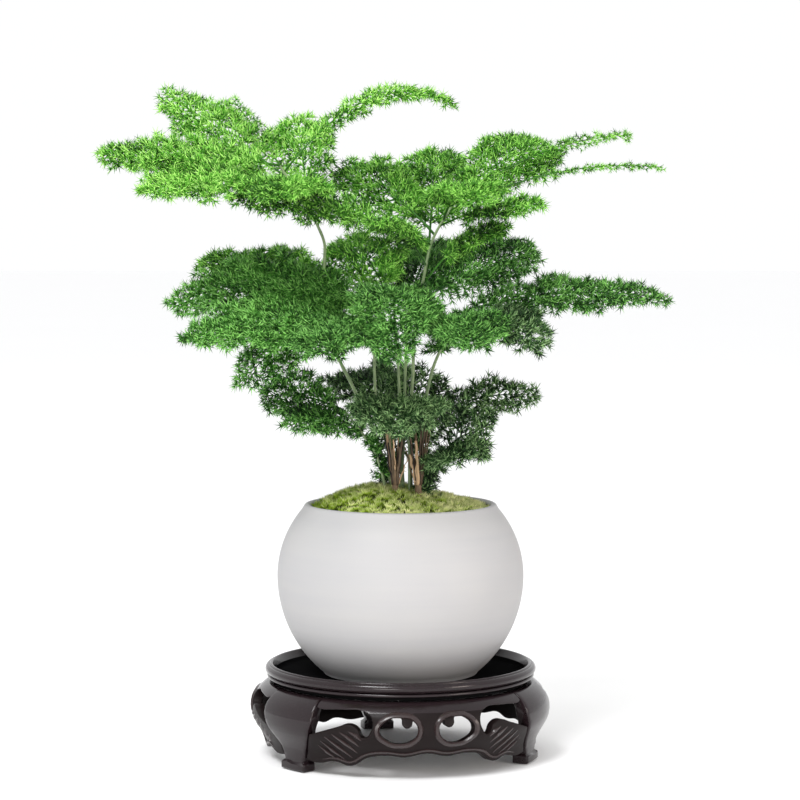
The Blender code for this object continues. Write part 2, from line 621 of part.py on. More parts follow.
class Frond:
    """One flat spray: a rachis with side shoots on alternate sides and whorls of needles."""

    def __init__(self, name):
        cane, share, tip, width, arch, self.lean, self.stalk = FRONDS[name]
        self.name = name
        root, cane_along = along_path(cane_path(cane), share)
        foot_radius, tip_radius, _, _ = CANES[cane]
        cane_radius = (foot_radius + (tip_radius - foot_radius) * share) * MM
        self.tip = Vector(tip) * MM
        self.bend = (root + self.tip) / 2 + UP * 2 * arch * MM
        leaving = (self.bend - root).normalized()
        if share == 1:
            turn = math.sqrt(max(1 - leaving.dot(cane_along) ** 2, 0))
            self.root = root + cane_along * (GAP + turn * RACHIS)
        else:
            sideways = (leaving - leaving.dot(cane_along) * cane_along).normalized()
            tilt = abs(leaving.dot(cane_along))
            self.root = root + sideways * (cane_radius + GAP + tilt * RACHIS) + leaving * GAP
        self.width = width * MM
        self.length = (self.tip - self.root).length
        is_wisp = self.width < WISP_WIDTH
        self.needle = WISP_NEEDLE if is_wisp else NEEDLE
        spacing = WISP_SPACING if is_wisp else STATION_SPACING
        self.count = max(3, round(self.length * (1 - self.stalk) / spacing))

    def at(self, t):
        return self.root * (1 - t) ** 2 + self.bend * 2 * t * (1 - t) + self.tip * t**2

    def along(self, t):
        return ((self.bend - self.root) * (1 - t) + (self.tip - self.bend) * t).normalized()

    def radius(self, t):
        return RACHIS + (RACHIS_TIP - RACHIS) * t

    def stations(self):
        for i in range(self.count):
            yield self.stalk + (0.97 - self.stalk) * (i + 0.35) / self.count

    def rings(self):
        """The places on the rachis where its mesh has a ring, root to tip."""
        half = WHORL / 2 / self.length
        yield 0
        for t in self.stations():
            yield t - half
            yield t + half
        yield 1


def outline_share(spread):
    """How far the side shoots reach, from the frond's first (0) to its tip (1)."""
    if spread < WIDEST_SHARE:
        return 0.55 + 0.45 * spread / WIDEST_SHARE
    return 1 - 0.8 * ((spread - WIDEST_SHARE) / (1 - WIDEST_SHARE)) ** 1.2


def side_shoot(frond, t, side, sway, shorten, lift):
    """A side shoot's line of points: a ring before and after each whorl, then its tip."""
    length = frond.width * outline_share((t - frond.stalk) / (1 - frond.stalk)) * shorten
    along = frond.along(t)
    across, upward = frond_frame(along, frond.lean)
    lean = BRANCH_LEAN + sway
    direction = across * side * math.cos(lean) + along * math.sin(lean) + upward * lift
    direction.normalize()
    whorls = max(1, round(length / WHORL_SPACING))
    half = WHORL / 2
    places = []
    for i in range(whorls):
        middle = length * (i + 0.75) / (whorls + 0.55)
        places += [middle - half, middle + half]
    places.append(length)
    root = frond.at(t)
    droop = (along - UP) * TIP_DROOP / length
    return [root + direction * s + droop * s * s for s in places]


def plan_shoots(frond, space, draw):
    """Gives each station a side shoot that keeps clear of everything placed before it."""
    shoots = []
    for i, t in enumerate(frond.stations()):
        side = 1 if i % 2 else -1
        sway = draw.uniform(-0.12, 0.12)
        rise = draw.uniform(-0.1, 0.16)
        owner = f"{frond.name}/{i}"
        chosen = None
        for shorten in (1, 0.75, 0.5):
            for lift in (0, 0.22, -0.22, 0.45, -0.45):
                points = side_shoot(frond, t, side, sway, shorten, rise + lift)
                root = frond.at(t).lerp(points[0], 0.45)
                line = [root] + points
                own = {f"{frond.name}/rachis"}
                lengths = zip(line, line[1:])
                free = all(space.is_clear(a, b, CORE + 0.5 * MM, own) for a, b in lengths)
                if free and min(point.z for point in points) > MOSS_CLEAR_Z:
                    chosen = points
                    break
            if chosen:
                break
        if chosen:
            for a, b in zip([frond.at(t).lerp(chosen[0], 0.3)] + chosen, chosen):
                space.add(a, b, CORE, owner)
        shoots.append(chosen)
    return shoots


def add_needles(bm, faces, middle, along, reach, space, own, owner, draw):
    """A needle on each of the faces, leaning towards the shoot's tip, where it finds room."""
    for face in faces:
        root = face.calc_center_median()
        outward = (root - middle).normalized()
        lean = NEEDLE_LEAN + draw.uniform(-0.2, 0.2)
        length = reach * draw.uniform(0.85, 1.1)
        tip = root + length * (outward * math.cos(lean) + along * math.sin(lean))
        if tip.z > MOSS_CLEAR_Z and space.is_clear(root, tip, 0.5 * MM, own):
            sharpen(bm, face, tip)
            space.add(root, tip, NEEDLE_RADIUS, owner)


def grow_shoot(bm, face, points, frond, i, space, draw):
    own = {f"{frond.name}/{i}", f"{frond.name}/rachis"}
    last = len(points) - 2
    for j in range(0, len(points) - 1, 2):
        along = (points[j + 1] - points[j]).normalized()
        width = CORE + (CORE_TIP - CORE) * j / max(last, 1)
        face, _ = extend(bm, face, points[j], along, width)
        face, sides = extend(bm, face, points[j + 1], along, width * 0.93)
        middle = (points[j] + points[j + 1]) / 2
        mine = own if j == 0 else {f"{frond.name}/{i}"}
        add_needles(bm, sides, middle, along, frond.needle, space, mine, f"{frond.name}/{i}", draw)
    sharpen(bm, face, points[-1])


def make_frond(frond, shoots, space, draw, material):
    bm = bmesh.new()
    rings = list(frond.rings())
    points = [frond.at(t) for t in rings]
    across, _ = frond_frame(frond.along(0), frond.lean)
    face = start_tube(bm, points[0], points[1], frond.radius(0), frond.radius(rings[1]), across, 3)
    for i, points_out in enumerate(shoots):
        near, far = 1 + 2 * i, 2 + 2 * i
        along = frond.along(rings[far])
        if i:
            face, _ = extend(bm, face, points[near], along, frond.radius(rings[near]))
        face, sides = extend(bm, face, points[far], along, frond.radius(rings[far]))
        middle = (points[near] + points[far]) / 2
        if points_out:
            outward = (points_out[0] - middle).normalized()
            base = max(sides, key=lambda side: (side.calc_center_median() - middle).dot(outward))
            sides.remove(base)
            halves = bmesh.ops.triangulate(bm, faces=[base])["faces"]
            grow_shoot(bm, halves[0], points_out, frond, i, space, draw)
        own = {f"{frond.name}/rachis", f"{frond.name}/{i}"}
        name = f"{frond.name}/rachis"
        add_needles(bm, sides, middle, along, frond.needle, space, own, name, draw)
    sharpen(bm, face, frond.tip)
    bmesh.ops.recalc_face_normals(bm, faces=bm.faces)
    return make_object(frond.name, mesh_from(frond.name, bm), material, 30)


def make_plant(materials):
    draw = random.Random(SEED)
    space = Space()
    pieces = []
    for name in CANES:
        material = materials["old"] if name in DRY_STEMS else materials["cane"]
        cane, lines = make_cane(name, material)
        pieces.append(cane)
        for a, b, radius in lines:
            if space.starts and not space.is_clear(a, b, radius, {name}):
                print(f"{name} comes close to another cane")
            space.add(a, b, radius, name)
    fronds = [Frond(name) for name in FRONDS]
    for frond in fronds:
        steps = [frond.at(i / 12) for i in range(13)]
        own = {f"{frond.name}/rachis", FRONDS[frond.name][0]}
        for a, b in zip(steps[1:], steps[2:]):
            if not space.is_clear(a, b, RACHIS, own):
                print(f"{frond.name} comes close to another piece")
        for a, b in zip(steps, steps[1:]):
            space.add(a, b, frond.radius(0.5), f"{frond.name}/rachis")
    shoots = [plan_shoots(frond, space, draw) for frond in fronds]
    for frond, plan in zip(fronds, shoots):
        tone = materials["top"] if frond.name[6] in "ab" else materials["low"]
        pieces.append(make_frond(frond, plan, space, draw, tone))
        print(frond.name, sum(1 for points in plan if points), "of", len(plan), "shoots")
    return pieces


def centre_footprint(pieces):
    """Hangs every piece on one empty and moves it, so that the footprint's middle is the origin."""
    bpy.context.view_layer.update()
    graph = bpy.context.evaluated_depsgraph_get()
    corners = [Vector(c) for obj in pieces for c in obj.evaluated_get(graph).bound_box]
    low = [min(corner[axis] for corner in corners) for axis in range(2)]
    high = [max(corner[axis] for corner in corners) for axis in range(2)]
    root = bpy.data.objects.new("fern_root", None)
    bpy.context.scene.collection.objects.link(root)
    for obj in pieces:
        obj.parent = root
    root.location = (-(low[0] + high[0]) / 2, -(low[1] + high[1]) / 2, 0)
    print("pot axis at", [round(value, 5) for value in root.location])


def main():
    clear_scene()
    wood = make_material("dark_lacquered_wood", (0.022, 0.016, 0.018), 0.32)
    white = make_material("white_ceramic", (0.80, 0.80, 0.81), 0.38)
    earth = make_material("potting_soil", (0.035, 0.024, 0.016), 0.95)
    moss = make_material("moss_green", (0.18, 0.26, 0.03), 0.9)
    plant = {
        "cane": make_material("cane_green", (0.16, 0.24, 0.10), 0.5),
        "old": make_material("cane_brown", (0.20, 0.11, 0.05), 0.75),
        "top": make_material("needles_bright", (0.07, 0.28, 0.03), 0.5),
        "low": make_material("needles_deep", (0.035, 0.17, 0.035), 0.5),
    }
    pieces = make_stand(wood) + [make_pot(white), make_soil(earth), make_moss(moss)]
    pieces += make_plant(plant)
    centre_footprint(pieces)


main()
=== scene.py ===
# %% [markdown]
# # An asparagus fern in a ball pot on a carved stand
#
# The solids of this object are finished elsewhere and are loaded here as a fixed frame. This
# notebook dresses them: it models the finer pieces that a photograph of such a plant shows,
# gives every surface a material made of nodes, and sets up a floor, lights and a camera.
# Lengths in the tables are millimetres, because that is how one would measure a plant.

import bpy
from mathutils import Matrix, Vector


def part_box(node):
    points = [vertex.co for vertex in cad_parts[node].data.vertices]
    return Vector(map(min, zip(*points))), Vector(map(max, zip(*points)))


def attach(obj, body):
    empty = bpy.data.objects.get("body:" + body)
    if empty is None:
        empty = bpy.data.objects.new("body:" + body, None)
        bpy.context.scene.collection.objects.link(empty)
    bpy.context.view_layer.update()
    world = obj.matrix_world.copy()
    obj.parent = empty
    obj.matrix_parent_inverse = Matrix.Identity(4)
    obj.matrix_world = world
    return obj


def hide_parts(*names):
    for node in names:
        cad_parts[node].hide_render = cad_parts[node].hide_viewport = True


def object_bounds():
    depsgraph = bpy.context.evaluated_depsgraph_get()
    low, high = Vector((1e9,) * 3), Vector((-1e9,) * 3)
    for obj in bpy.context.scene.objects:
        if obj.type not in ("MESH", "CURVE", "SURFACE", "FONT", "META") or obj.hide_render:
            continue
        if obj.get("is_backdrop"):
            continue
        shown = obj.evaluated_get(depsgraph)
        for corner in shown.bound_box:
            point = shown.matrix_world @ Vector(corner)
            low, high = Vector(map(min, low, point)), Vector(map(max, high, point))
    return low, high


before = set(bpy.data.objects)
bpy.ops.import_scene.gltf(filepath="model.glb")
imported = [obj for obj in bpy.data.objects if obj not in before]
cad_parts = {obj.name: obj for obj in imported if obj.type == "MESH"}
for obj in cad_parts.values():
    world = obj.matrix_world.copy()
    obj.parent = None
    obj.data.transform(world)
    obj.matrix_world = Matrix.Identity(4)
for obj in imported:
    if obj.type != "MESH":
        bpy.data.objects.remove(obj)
CAD_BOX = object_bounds()
print("solids:", len(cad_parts), "box:", [[round(v, 4) for v in corner] for corner in CAD_BOX])

# %% Tools and the pot's axis
import math
from contextlib import contextmanager

import bpy
import numpy as np
from mathutils import Vector, noise

MM = 0.001
POT_LOW, POT_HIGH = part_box("pot")
AXIS = np.array(((POT_LOW[0] + POT_HIGH[0]) / 2, (POT_LOW[1] + POT_HIGH[1]) / 2, 0.0))
UP = np.array((0.0, 0.0, 1.0))
print("the pot's axis stands at", AXIS.round(5))

# %% [markdown]
# ## The camera
#
# A plant like this is photographed with a long lens from a little above the rim of its pot,
# so the ellipse of the mouth stays narrow. The camera is placed from the pot's axis, because
# the pot's mouth and the stand's tray are the two ellipses that fix its height and tilt.

# %% Place the camera
def add_camera(distance, height, tilt, lens, shift):
    place = (AXIS[0], AXIS[1] - distance, height)
    bpy.ops.object.camera_add(location=place, rotation=(math.radians(90 - tilt), 0, 0))
    camera = bpy.context.object
    camera.data.lens = lens
    camera.data.shift_x = shift
    bpy.context.scene.camera = camera
    print("camera at", [round(v, 3) for v in camera.location], "lens", lens)


add_camera(1.55, 0.31, 4.0, 123.35, -0.0006)

# %% [markdown]
# ## Floor, sky and lights
#
# A pale floor and an even, nearly white sky stand in for a studio's white paper. On the real
# set a large soft lamp hangs in front of the plant, so the upper faces of each layer of green are
# bright and what lies below them falls into shade. A white sky alone would light everything
# evenly and flatten the layers.

# %% Build the studio
FLOOR_GAP = 0.5 * MM


def add_floor(size):
    bpy.ops.mesh.primitive_plane_add(size=size, location=(0, 0, -FLOOR_GAP))
    floor = bpy.context.object
    floor.name = "studio_floor"
    floor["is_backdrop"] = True
    return floor


def add_lamp(name, place, aim, size, power, colour):
    bpy.ops.object.light_add(type="AREA", location=place)
    lamp = bpy.context.object
    lamp.name = name
    lamp.data.size = size
    lamp.data.energy = power
    lamp.data.color = colour
    lamp.rotation_euler = (Vector(aim) - Vector(place)).to_track_quat("-Z", "Y").to_euler()
    print(name, "power", power)


floor = add_floor(24)
world = bpy.data.worlds.new("white_sky")
bpy.context.scene.world = world
world.use_nodes = True
sky = world.node_tree.nodes["Background"]
sky.inputs["Color"].default_value = (0.99, 0.993, 1.0, 1)
sky.inputs["Strength"].default_value = 1.01
bpy.context.scene.view_settings.view_transform = "Standard"
add_lamp("key_lamp", (-0.55, -1.0, 1.55), (0, 0, 0.25), 0.6, 23, (0.99, 0.99, 1.0))
add_lamp("side_lamp", (1.1, -0.9, 0.3), (0, 0, 0.1), 0.4, 5, (1.0, 0.87, 0.77))
add_lamp("low_lamp", (-0.3, -1.5, 0.1), (0, 0, 0.08), 0.5, 7, (1.0, 0.97, 0.93))

# %% [markdown]
# ## Nodes as arithmetic
#
# A material's pattern is a sum of small steps: a noise, a stretch, a threshold. Written as
# nodes one by one that is long to read, so a small class wraps a node's output and lets
# Python's own operators add the Math nodes. One more method makes any other node.

# %% A finish and its signals
COLOUR_MIX_INPUTS, COLOUR_MIX_OUTPUT = (0, 6, 7), 2
ATTRIBUTE_FACTOR = 2


class Signal:
    """A node's output that can be added, multiplied and mixed."""

    def __init__(self, finish, socket):
        self.finish = finish
        self.socket = socket

    def math(self, operation, first, second=None):
        inputs = {0: first} if second is None else {0: first, 1: second}
        return self.finish.node("Math", {"operation": operation}, inputs)

    def __add__(self, other):
        return self.math("ADD", self, other)

    def __mul__(self, other):
        return self.math("MULTIPLY", self, other)

    def __sub__(self, other):
        return self.math("SUBTRACT", self, other)

    def __rsub__(self, other):
        return self.math("SUBTRACT", other, self)

    def clamp(self):
        return self.finish.node("Clamp", {}, {"Value": self})

    __radd__ = __add__
    __rmul__ = __mul__


class Finish:
    """A material on one Principled shader."""

    def __init__(self, name, **plain):
        self.material = bpy.data.materials.new(name)
        self.material.use_nodes = True
        self.tree = self.material.node_tree
        self.shader = self.tree.nodes["Principled BSDF"]
        for socket, value in plain.items():
            self.shader.inputs[socket.replace("_", " ")].default_value = value

    def feed(self, socket, value):
        if isinstance(value, Signal):
            self.tree.links.new(value.socket, socket)
        else:
            socket.default_value = value

    def node(self, kind, settings, inputs, output=0):
        made = self.tree.nodes.new("ShaderNode" + kind)
        for name, value in settings.items():
            setattr(made, name, value)
        for name, value in inputs.items():
            self.feed(made.inputs[name], value)
        return Signal(self, made.outputs[output])

    def place(self, scale):
        """Object coordinates in millimetres, stretched by scale."""
        spot = self.node("TexCoord", {}, {}, "Object")
        size = [s / MM for s in scale]
        return self.node("VectorMath", {"operation": "MULTIPLY"}, {0: spot, 1: size})

    def noise(self, wavelength, detail=3.0, scale=(1, 1, 1)):
        """A smooth random pattern, from 0 to 1, whose grains are about wavelength mm apart."""
        inputs = {"Vector": self.place(scale), "Scale": 1 / wavelength, "Detail": detail}
        return self.node("TexNoise", {}, inputs)

    def tone(self):
        """The number that each corner of the mesh was given as its tone."""
        return self.node("Attribute", {"attribute_name": "tone"}, {}, ATTRIBUTE_FACTOR)

    def mix(self, share, first, second):
        """A colour between two colours."""
        made = self.tree.nodes.new("ShaderNodeMix")
        made.data_type = "RGBA"
        for number, value in zip(COLOUR_MIX_INPUTS, (share, first, second)):
            self.feed(made.inputs[number], value)
        return Signal(self, made.outputs[COLOUR_MIX_OUTPUT])

    def bump(self, height, strength, distance):
        inputs = {"Height": height, "Strength": strength, "Distance": distance * MM}
        self.feed(self.shader.inputs["Normal"], self.node("Bump", {}, inputs))

    def paint(self, colour, roughness=None):
        self.feed(self.shader.inputs["Base Color"], colour)
        if roughness is not None:
            self.feed(self.shader.inputs["Roughness"], roughness)


def sharpened(signal, low, high):
    """Stretches the part of a signal between low and high to 0 to 1."""
    return ((signal - low) * (1 / (high - low))).clamp()


print("nodes can be written as arithmetic")

# %% [markdown]
# ## Finishes of the floor and the hard pieces
#
# The floor is matte paper. The stand is a dense wood under black-brown lacquer: its grain
# runs round the tray and only shows as faint streaks, and the lacquer's gloss differs
# a little from place to place. The pot is thrown stoneware under a white satin glaze, with shallow
# rings from the thrower's fingers. A flat colour would miss the streaks and the rings, and
# those are what the eye takes for real wood and real clay.

# %% Floor, wood, glaze and soil
def floor_finish():
    paper = Finish("white_paper", Roughness=0.9)
    paper.paint(paper.mix(paper.noise(600, 1), (0.975, 0.975, 0.975, 1), (0.985, 0.985, 0.985, 1)))
    return paper.material


def wood_finish(name, dark, light, gloss, shine):
    wood = Finish(name, Specular_IOR_Level=shine, Coat_Weight=shine / 4, Coat_Roughness=0.15)
    streaks = wood.noise(2.2, 5, (1, 1, 5))
    pores = sharpened(wood.noise(0.7, 2, (1, 1, 3)), 0.56, 0.72)
    patches = wood.noise(26, 2)
    wood.paint(wood.mix((streaks * 0.6 + patches * 0.5).clamp(), dark, light),
               (gloss + patches * 0.1 + pores * 0.12).clamp())
    wood.bump(streaks * 0.5 - pores * 0.5, 0.2, 0.1)
    return wood.material


def glaze_finish():
    glaze = Finish("satin_glaze", Specular_IOR_Level=0.25, Coat_Weight=0.1, Coat_Roughness=0.5)
    rings = glaze.noise(5.5, 2, (0.04, 0.04, 1))
    clouds = glaze.noise(45, 2)
    shade = clouds * 0.5 + rings * 0.5
    glaze.paint(glaze.mix(shade, (0.345, 0.345, 0.362, 1), (0.415, 0.408, 0.398, 1)),
                0.5 + clouds * 0.1)
    glaze.bump(rings * 0.8 + glaze.noise(1.6, 2) * 0.1, 0.4, 0.35)
    return glaze.material


def soil_finish():
    soil = Finish("bark_soil", Roughness=0.95)
    crumbs = soil.noise(1.8, 4)
    shade = sharpened(crumbs, 0.35, 0.7)
    soil.paint(soil.mix(shade, (0.012, 0.008, 0.005, 1), (0.06, 0.038, 0.022, 1)))
    soil.bump(crumbs, 0.9, 1.0)
    return soil.material


floor.data.materials.append(floor_finish())
WOOD = wood_finish("lacquered_wood", (0.004, 0.0022, 0.0028, 1), (0.02, 0.012, 0.014, 1), 0.12, 0.3)
# A lighter, glossier copy of the lacquer for the raised carving: painted light.
LIT_CARVED_WOOD = wood_finish("carved_wood_painted_light", (0.008, 0.0045, 0.0045, 1), (0.036, 0.022, 0.022, 1), 0.2, 0.4)
# A darker, duller copy of the lacquer for the apron's flat ground: painted shade.
SHADED_APRON_WOOD = wood_finish("apron_wood_painted_shade", (0.002, 0.0013, 0.0013, 1), (0.012, 0.007, 0.007, 1), 0.4, 0.12)
# A near-black copy of the lacquer without gloss, for the tray's recess, groove and underside: painted
# shade.
SHADED_TRAY_WOOD = wood_finish("tray_recess_painted_shade", (0.003, 0.003, 0.003, 1), (0.008, 0.008, 0.0085, 1), 0.4, 0.0)
GLAZE = glaze_finish()
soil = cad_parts["soil"]
for slot in soil.material_slots:
    slot.material = soil_finish()
print("hard finishes:", [m.name for m in (WOOD, LIT_CARVED_WOOD, SHADED_APRON_WOOD, SHADED_TRAY_WOOD, GLAZE)])

# %% [markdown]
# ## Working by hand, in code
#
# Blender's operators act on all that is selected. Loading the frame leaves the solids
# selected, and a new primitive is selected all over, so each step first clears the selection
# and then picks faces by their place. A finished piece is then given its name, its material
# and the solid that it stands for.

# %% Selecting and handing over
MERGE_DISTANCE = 0.02 * MM
TURNED_CREASE = 42


def clear_selection():
    if bpy.context.mode != "OBJECT":
        bpy.ops.object.mode_set(mode="OBJECT")
    bpy.ops.object.select_all(action="DESELECT")


def make_active(obj):
    clear_selection()
    obj.select_set(True)
    bpy.context.view_layer.objects.active = obj


@contextmanager
def edit_mode():
    """Edit mode with everything selected, until the block ends."""
    bpy.ops.object.mode_set(mode="EDIT")
    bpy.ops.mesh.select_all(action="SELECT")
    yield
    bpy.ops.object.mode_set(mode="OBJECT")


def settle(obj):
    """Moves the object's place into its mesh."""
    make_active(obj)
    bpy.ops.object.transform_apply(location=True, rotation=True, scale=True)


def hand_over(obj, name, node, slot, material=None):
    """The piece takes its name and finish, rides on the body and stands for its solid."""
    obj.name = name
    if material is not None:
        obj.data.materials.clear()
        obj.data.materials.append(material)
    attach(obj, "root")
    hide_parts(node)
    return sum(len(face.vertices) - 2 for face in obj.data.polygons)


def turn_profile(profile, steps):
    """Spins a profile, drawn as (radius, height) from the axis out and back, round the pot's axis."""
    clear_selection()
    bpy.ops.mesh.primitive_plane_add(size=1, location=AXIS)
    obj = bpy.context.object
    obj.data.clear_geometry()
    points = [(radius, 0, z) for radius, z in profile]
    obj.data.from_pydata(points, [(i, i + 1) for i in range(len(points) - 1)], [])
    with edit_mode():
        bpy.ops.mesh.spin(steps=steps, angle=math.tau, center=tuple(AXIS), axis=(0, 0, 1))
        bpy.ops.mesh.select_all(action="SELECT")
        bpy.ops.mesh.remove_doubles(threshold=MERGE_DISTANCE)
        bpy.ops.mesh.normals_make_consistent(inside=False)
    settle(obj)
    bpy.ops.object.shade_smooth_by_angle(angle=math.radians(TURNED_CREASE))
    return obj


def arc(centre, radius, start, end, count):
    """Points on a round moulding, with angles in degrees from the outward direction."""
    for i in range(count + 1):
        angle = math.radians(start + (end - start) * i / count)
        yield centre[0] + radius * math.cos(angle), centre[1] + radius * math.sin(angle)


print("helpers ready")

# %% [markdown]
# ## The tray of the stand
#
# The stand's top is turned on a lathe: a shallow recess for the pot, a small lip, a fat bead,
# a thin bead and a groove. Turning is a spin round an axis, so the piece is drawn as half
# a section and spun. Sculpting it from a cylinder would leave the beads uneven.

# %% Turn the tray
RECESS_REACH = 71.8
BEAD_SHADE_REACH, BEAD_SHADE_Z = 74.4, 46.9


def make_tray():
    lip = list(arc((73.6, 51.5), 0.9, 160, 0, 8))
    fat = list(arc((74.4, 49.2), 2.6, 70, -80, 14))
    thin = list(arc((75.0, 45.4), 1.0, 80, -80, 8))
    recess = [(0, 45.7), (40, 45.7), (69.6, 45.7), (70.4, 45.9), (71.0, 46.5), (71.6, 48.2)]
    under = [(72.2, 44.3), (72.0, 43.9), (72.0, 42.3), (0, 42.3)]
    groove = [(73.7, 46.9), (73.6, 46.3)]
    profile = [(r * MM, z * MM) for r, z in recess + lip + fat + groove + thin + under]
    tray = turn_profile(profile, 128)
    tray.data.materials.append(WOOD)
    tray.data.materials.append(SHADED_TRAY_WOOD)
    # Faces in the recess, in the groove and under the beads take the near-black wood: painted shade.
    for face in tray.data.polygons:
        reach = (Vector(face.center).xy - Vector(AXIS).xy).length
        shaded = face.center.z < BEAD_SHADE_Z * MM and reach < BEAD_SHADE_REACH * MM
        face.material_index = int(shaded or reach < RECESS_REACH * MM)
    return tray


tray = make_tray()
print("tray faces:", hand_over(tray, "turned_tray", "stand_tray", "dark_wood"))

# %% [markdown]
# ## Legs and aprons
#
# The three legs and the three pierced aprons are sawn from thick boards, carved, and shaped
# to one bulging curve that runs round the whole stand. They are made the same way here:
# an outline is drawn flat as a curve with rounded edges, turned into a mesh, sliced into narrow
# strips so that it can bend, and then wrapped on to the bulge.

# %% The bulge and the drawings
BOARD_RADIUS, STAND_TOP_Z = 82.0, 42.0
KNEE_RADIUS, KNEE_Z, SHOULDER_IN = 85.2, 26.8, 8.7
ANKLE_RADIUS, ANKLE_Z = 78.0, 8.0
TOE_OUT, TOE_Z = 1.6, 4.5
LEG_SPACING, FIRST_LEG_ANGLE = 120.0, -49.5
LEG_DEPTH, LEG_ROUNDING = 8.0, 0.9
LEG_WIDTHS = ((0, 7.2), (4, 7.2), (5.5, 6.0), (12, 7.6), (21, 11.6), (30, 14.3), (42, 14.5))
APRON_TOP = [(44.0, 37.4), (33, 37.9), (24.5, 37.4), (21.2, 33.5), (21.9, 26.5), (24.6, 23.5)]
APRON_LEAF = [(26.8, 28.5), (30.5, 30.6), (35.5, 28.4), (41.5, 25.6)]
APRON_FOOT = [(46.5, 6.2), (38, 8.2), (31, 6.4), (24, 11.5), (16.5, 13.2), (8.5, 12.2), (0, 14.4)]
RING_CURL = [(3.2, 27.5), (5.4, 33.3), (6.4, 30.4), (8.2, 29.2), (9.8, 31.0), (10.4, 34.6)]
RING_OPENING = [(14.6, 33.8), (18.6, 27.5), (14.6, 21.3), (11.1, 20.2), (6.4, 21.8)]


def stand_radius(z):
    """The outer face of legs and aprons at a height: shoulder, bulge, then in to the ankle."""
    if z >= KNEE_Z:
        return KNEE_RADIUS - SHOULDER_IN * ((z - KNEE_Z) / (STAND_TOP_Z - KNEE_Z)) ** 2.7
    fall = min((KNEE_Z - z) / (KNEE_Z - ANKLE_Z), 1)
    return ANKLE_RADIUS + (KNEE_RADIUS - ANKLE_RADIUS) * (0.5 + 0.5 * math.cos(math.pi * fall))


def leg_half_angle(z):
    """Half the width of a leg in degrees at a height."""
    for (below, narrow), (above, wide) in zip(LEG_WIDTHS, LEG_WIDTHS[1:]):
        if z <= above:
            return narrow + (z - below) / (above - below) * (wide - narrow)
    return LEG_WIDTHS[-1][1]


def mirrored(points):
    return [(-angle, z) for angle, z in reversed(points)]


def flat_place(angle, z):
    """Degrees across and millimetres up become a place on the flat drawing."""
    return (math.radians(angle) * BOARD_RADIUS, z, 0)


print("knee", round(stand_radius(KNEE_Z), 1), "ankle", round(stand_radius(ANKLE_Z), 1))


# %% Boards that bend
FLAT_MERGE = 0.002  # a flat drawing has one unit to the millimetre


def draw_loop(curve, points, corners, cyclic=True):
    spline = curve.splines.new("BEZIER")
    spline.bezier_points.add(len(points) - 1)
    spline.use_cyclic_u = cyclic
    for i, (angle, z) in enumerate(points):
        point = spline.bezier_points[i]
        point.co = flat_place(angle, z)
        kind = "VECTOR" if i in corners else "AUTO"
        point.handle_left_type = kind
        point.handle_right_type = kind


def empty_curve(dimensions, bevel, bevel_steps):
    """A curve with no line yet. What is drawn on it gets a round edge of the bevel's radius."""
    clear_selection()
    bpy.ops.curve.primitive_bezier_circle_add(radius=1, location=(0, 0, 0))
    curve = bpy.context.object.data
    curve.splines.clear()
    curve.dimensions = dimensions
    curve.bevel_depth = bevel
    curve.bevel_resolution = bevel_steps
    return curve


def as_mesh():
    """Turns the active curve into a mesh."""
    bpy.ops.object.convert(target="MESH")
    return bpy.context.object


def flat_piece(loops, thickness, rounding, resolution):
    """A flat board with rounded edges, its front towards +Z, in millimetres."""
    curve = empty_curve("2D", rounding, 2)
    curve.fill_mode = "BOTH"
    curve.resolution_u = resolution
    curve.extrude = thickness / 2 - rounding
    curve.offset = -rounding
    for points, corners in loops:
        draw_loop(curve, points, corners)
    board = as_mesh()
    with edit_mode():
        bpy.ops.mesh.remove_doubles(threshold=FLAT_MERGE)
        bpy.ops.mesh.normals_make_consistent(inside=False)
    return board


def slice_board(board, spacing):
    """Cuts the board's faces at even distances, so that each is short enough to bend."""
    make_active(board)
    reach = [max(abs(v.co[axis]) for v in board.data.vertices) for axis in range(2)]
    with edit_mode():
        for first, end, normal in ((-reach[0], reach[0], (1, 0, 0)), (0.0, reach[1], (0, 1, 0))):
            for i in range(1, int((end - first) / spacing) + 1):
                place = [(first + i * spacing) * share for share in normal]
                bpy.ops.mesh.select_all(action="SELECT")
                bpy.ops.mesh.bisect(plane_co=place, plane_no=normal)


def bend_board(board, middle, depth, setback):
    """Wraps a flat board on to the bulge. Its front lies setback inside the outer face."""
    for vert in board.data.vertices:
        across, z, out = vert.co
        z = min(max(z, 0.0), STAND_TOP_Z)
        radius = stand_radius(z) - setback - (depth / 2 - out)
        if z < TOE_Z and out > 0 and depth == LEG_DEPTH:
            radius += TOE_OUT * min(out / (depth / 2), 1)
        angle = math.radians(middle) + across / BOARD_RADIUS
        x, y = radius * math.sin(angle), -radius * math.cos(angle)
        vert.co = (AXIS[0] + x * MM, AXIS[1] + y * MM, z * MM)
    board.data.update()


def finish_board(board, sharp):
    make_active(board)
    with edit_mode():
        bpy.ops.mesh.normals_make_consistent(inside=False)
        bpy.ops.mesh.quads_convert_to_tris(quad_method="BEAUTY", ngon_method="BEAUTY")
    bpy.ops.object.shade_smooth_by_angle(angle=math.radians(sharp))


def dress_three(make, title, node, material=None):
    """Makes each of the three and hands it over."""
    for number in range(3):
        piece = make(number)
        names = f"{title}_{number + 1}", f"{node}_{number + 1}"
        print(names[0], "faces:", hand_over(piece, *names, "dark_wood", material))


print("boards can be drawn, sliced and bent")


# %% The three legs
def make_leg(number):
    half = [(leg_half_angle(z), z) for z, _ in LEG_WIDTHS]
    outline = mirrored(half)[::-1] + half[::-1]
    board = flat_piece([(outline, range(len(outline)))], LEG_DEPTH, LEG_ROUNDING, 4)
    slice_board(board, 3.0)
    bend_board(board, FIRST_LEG_ANGLE + LEG_SPACING * number, LEG_DEPTH, 0.0)
    finish_board(board, 45)
    return board


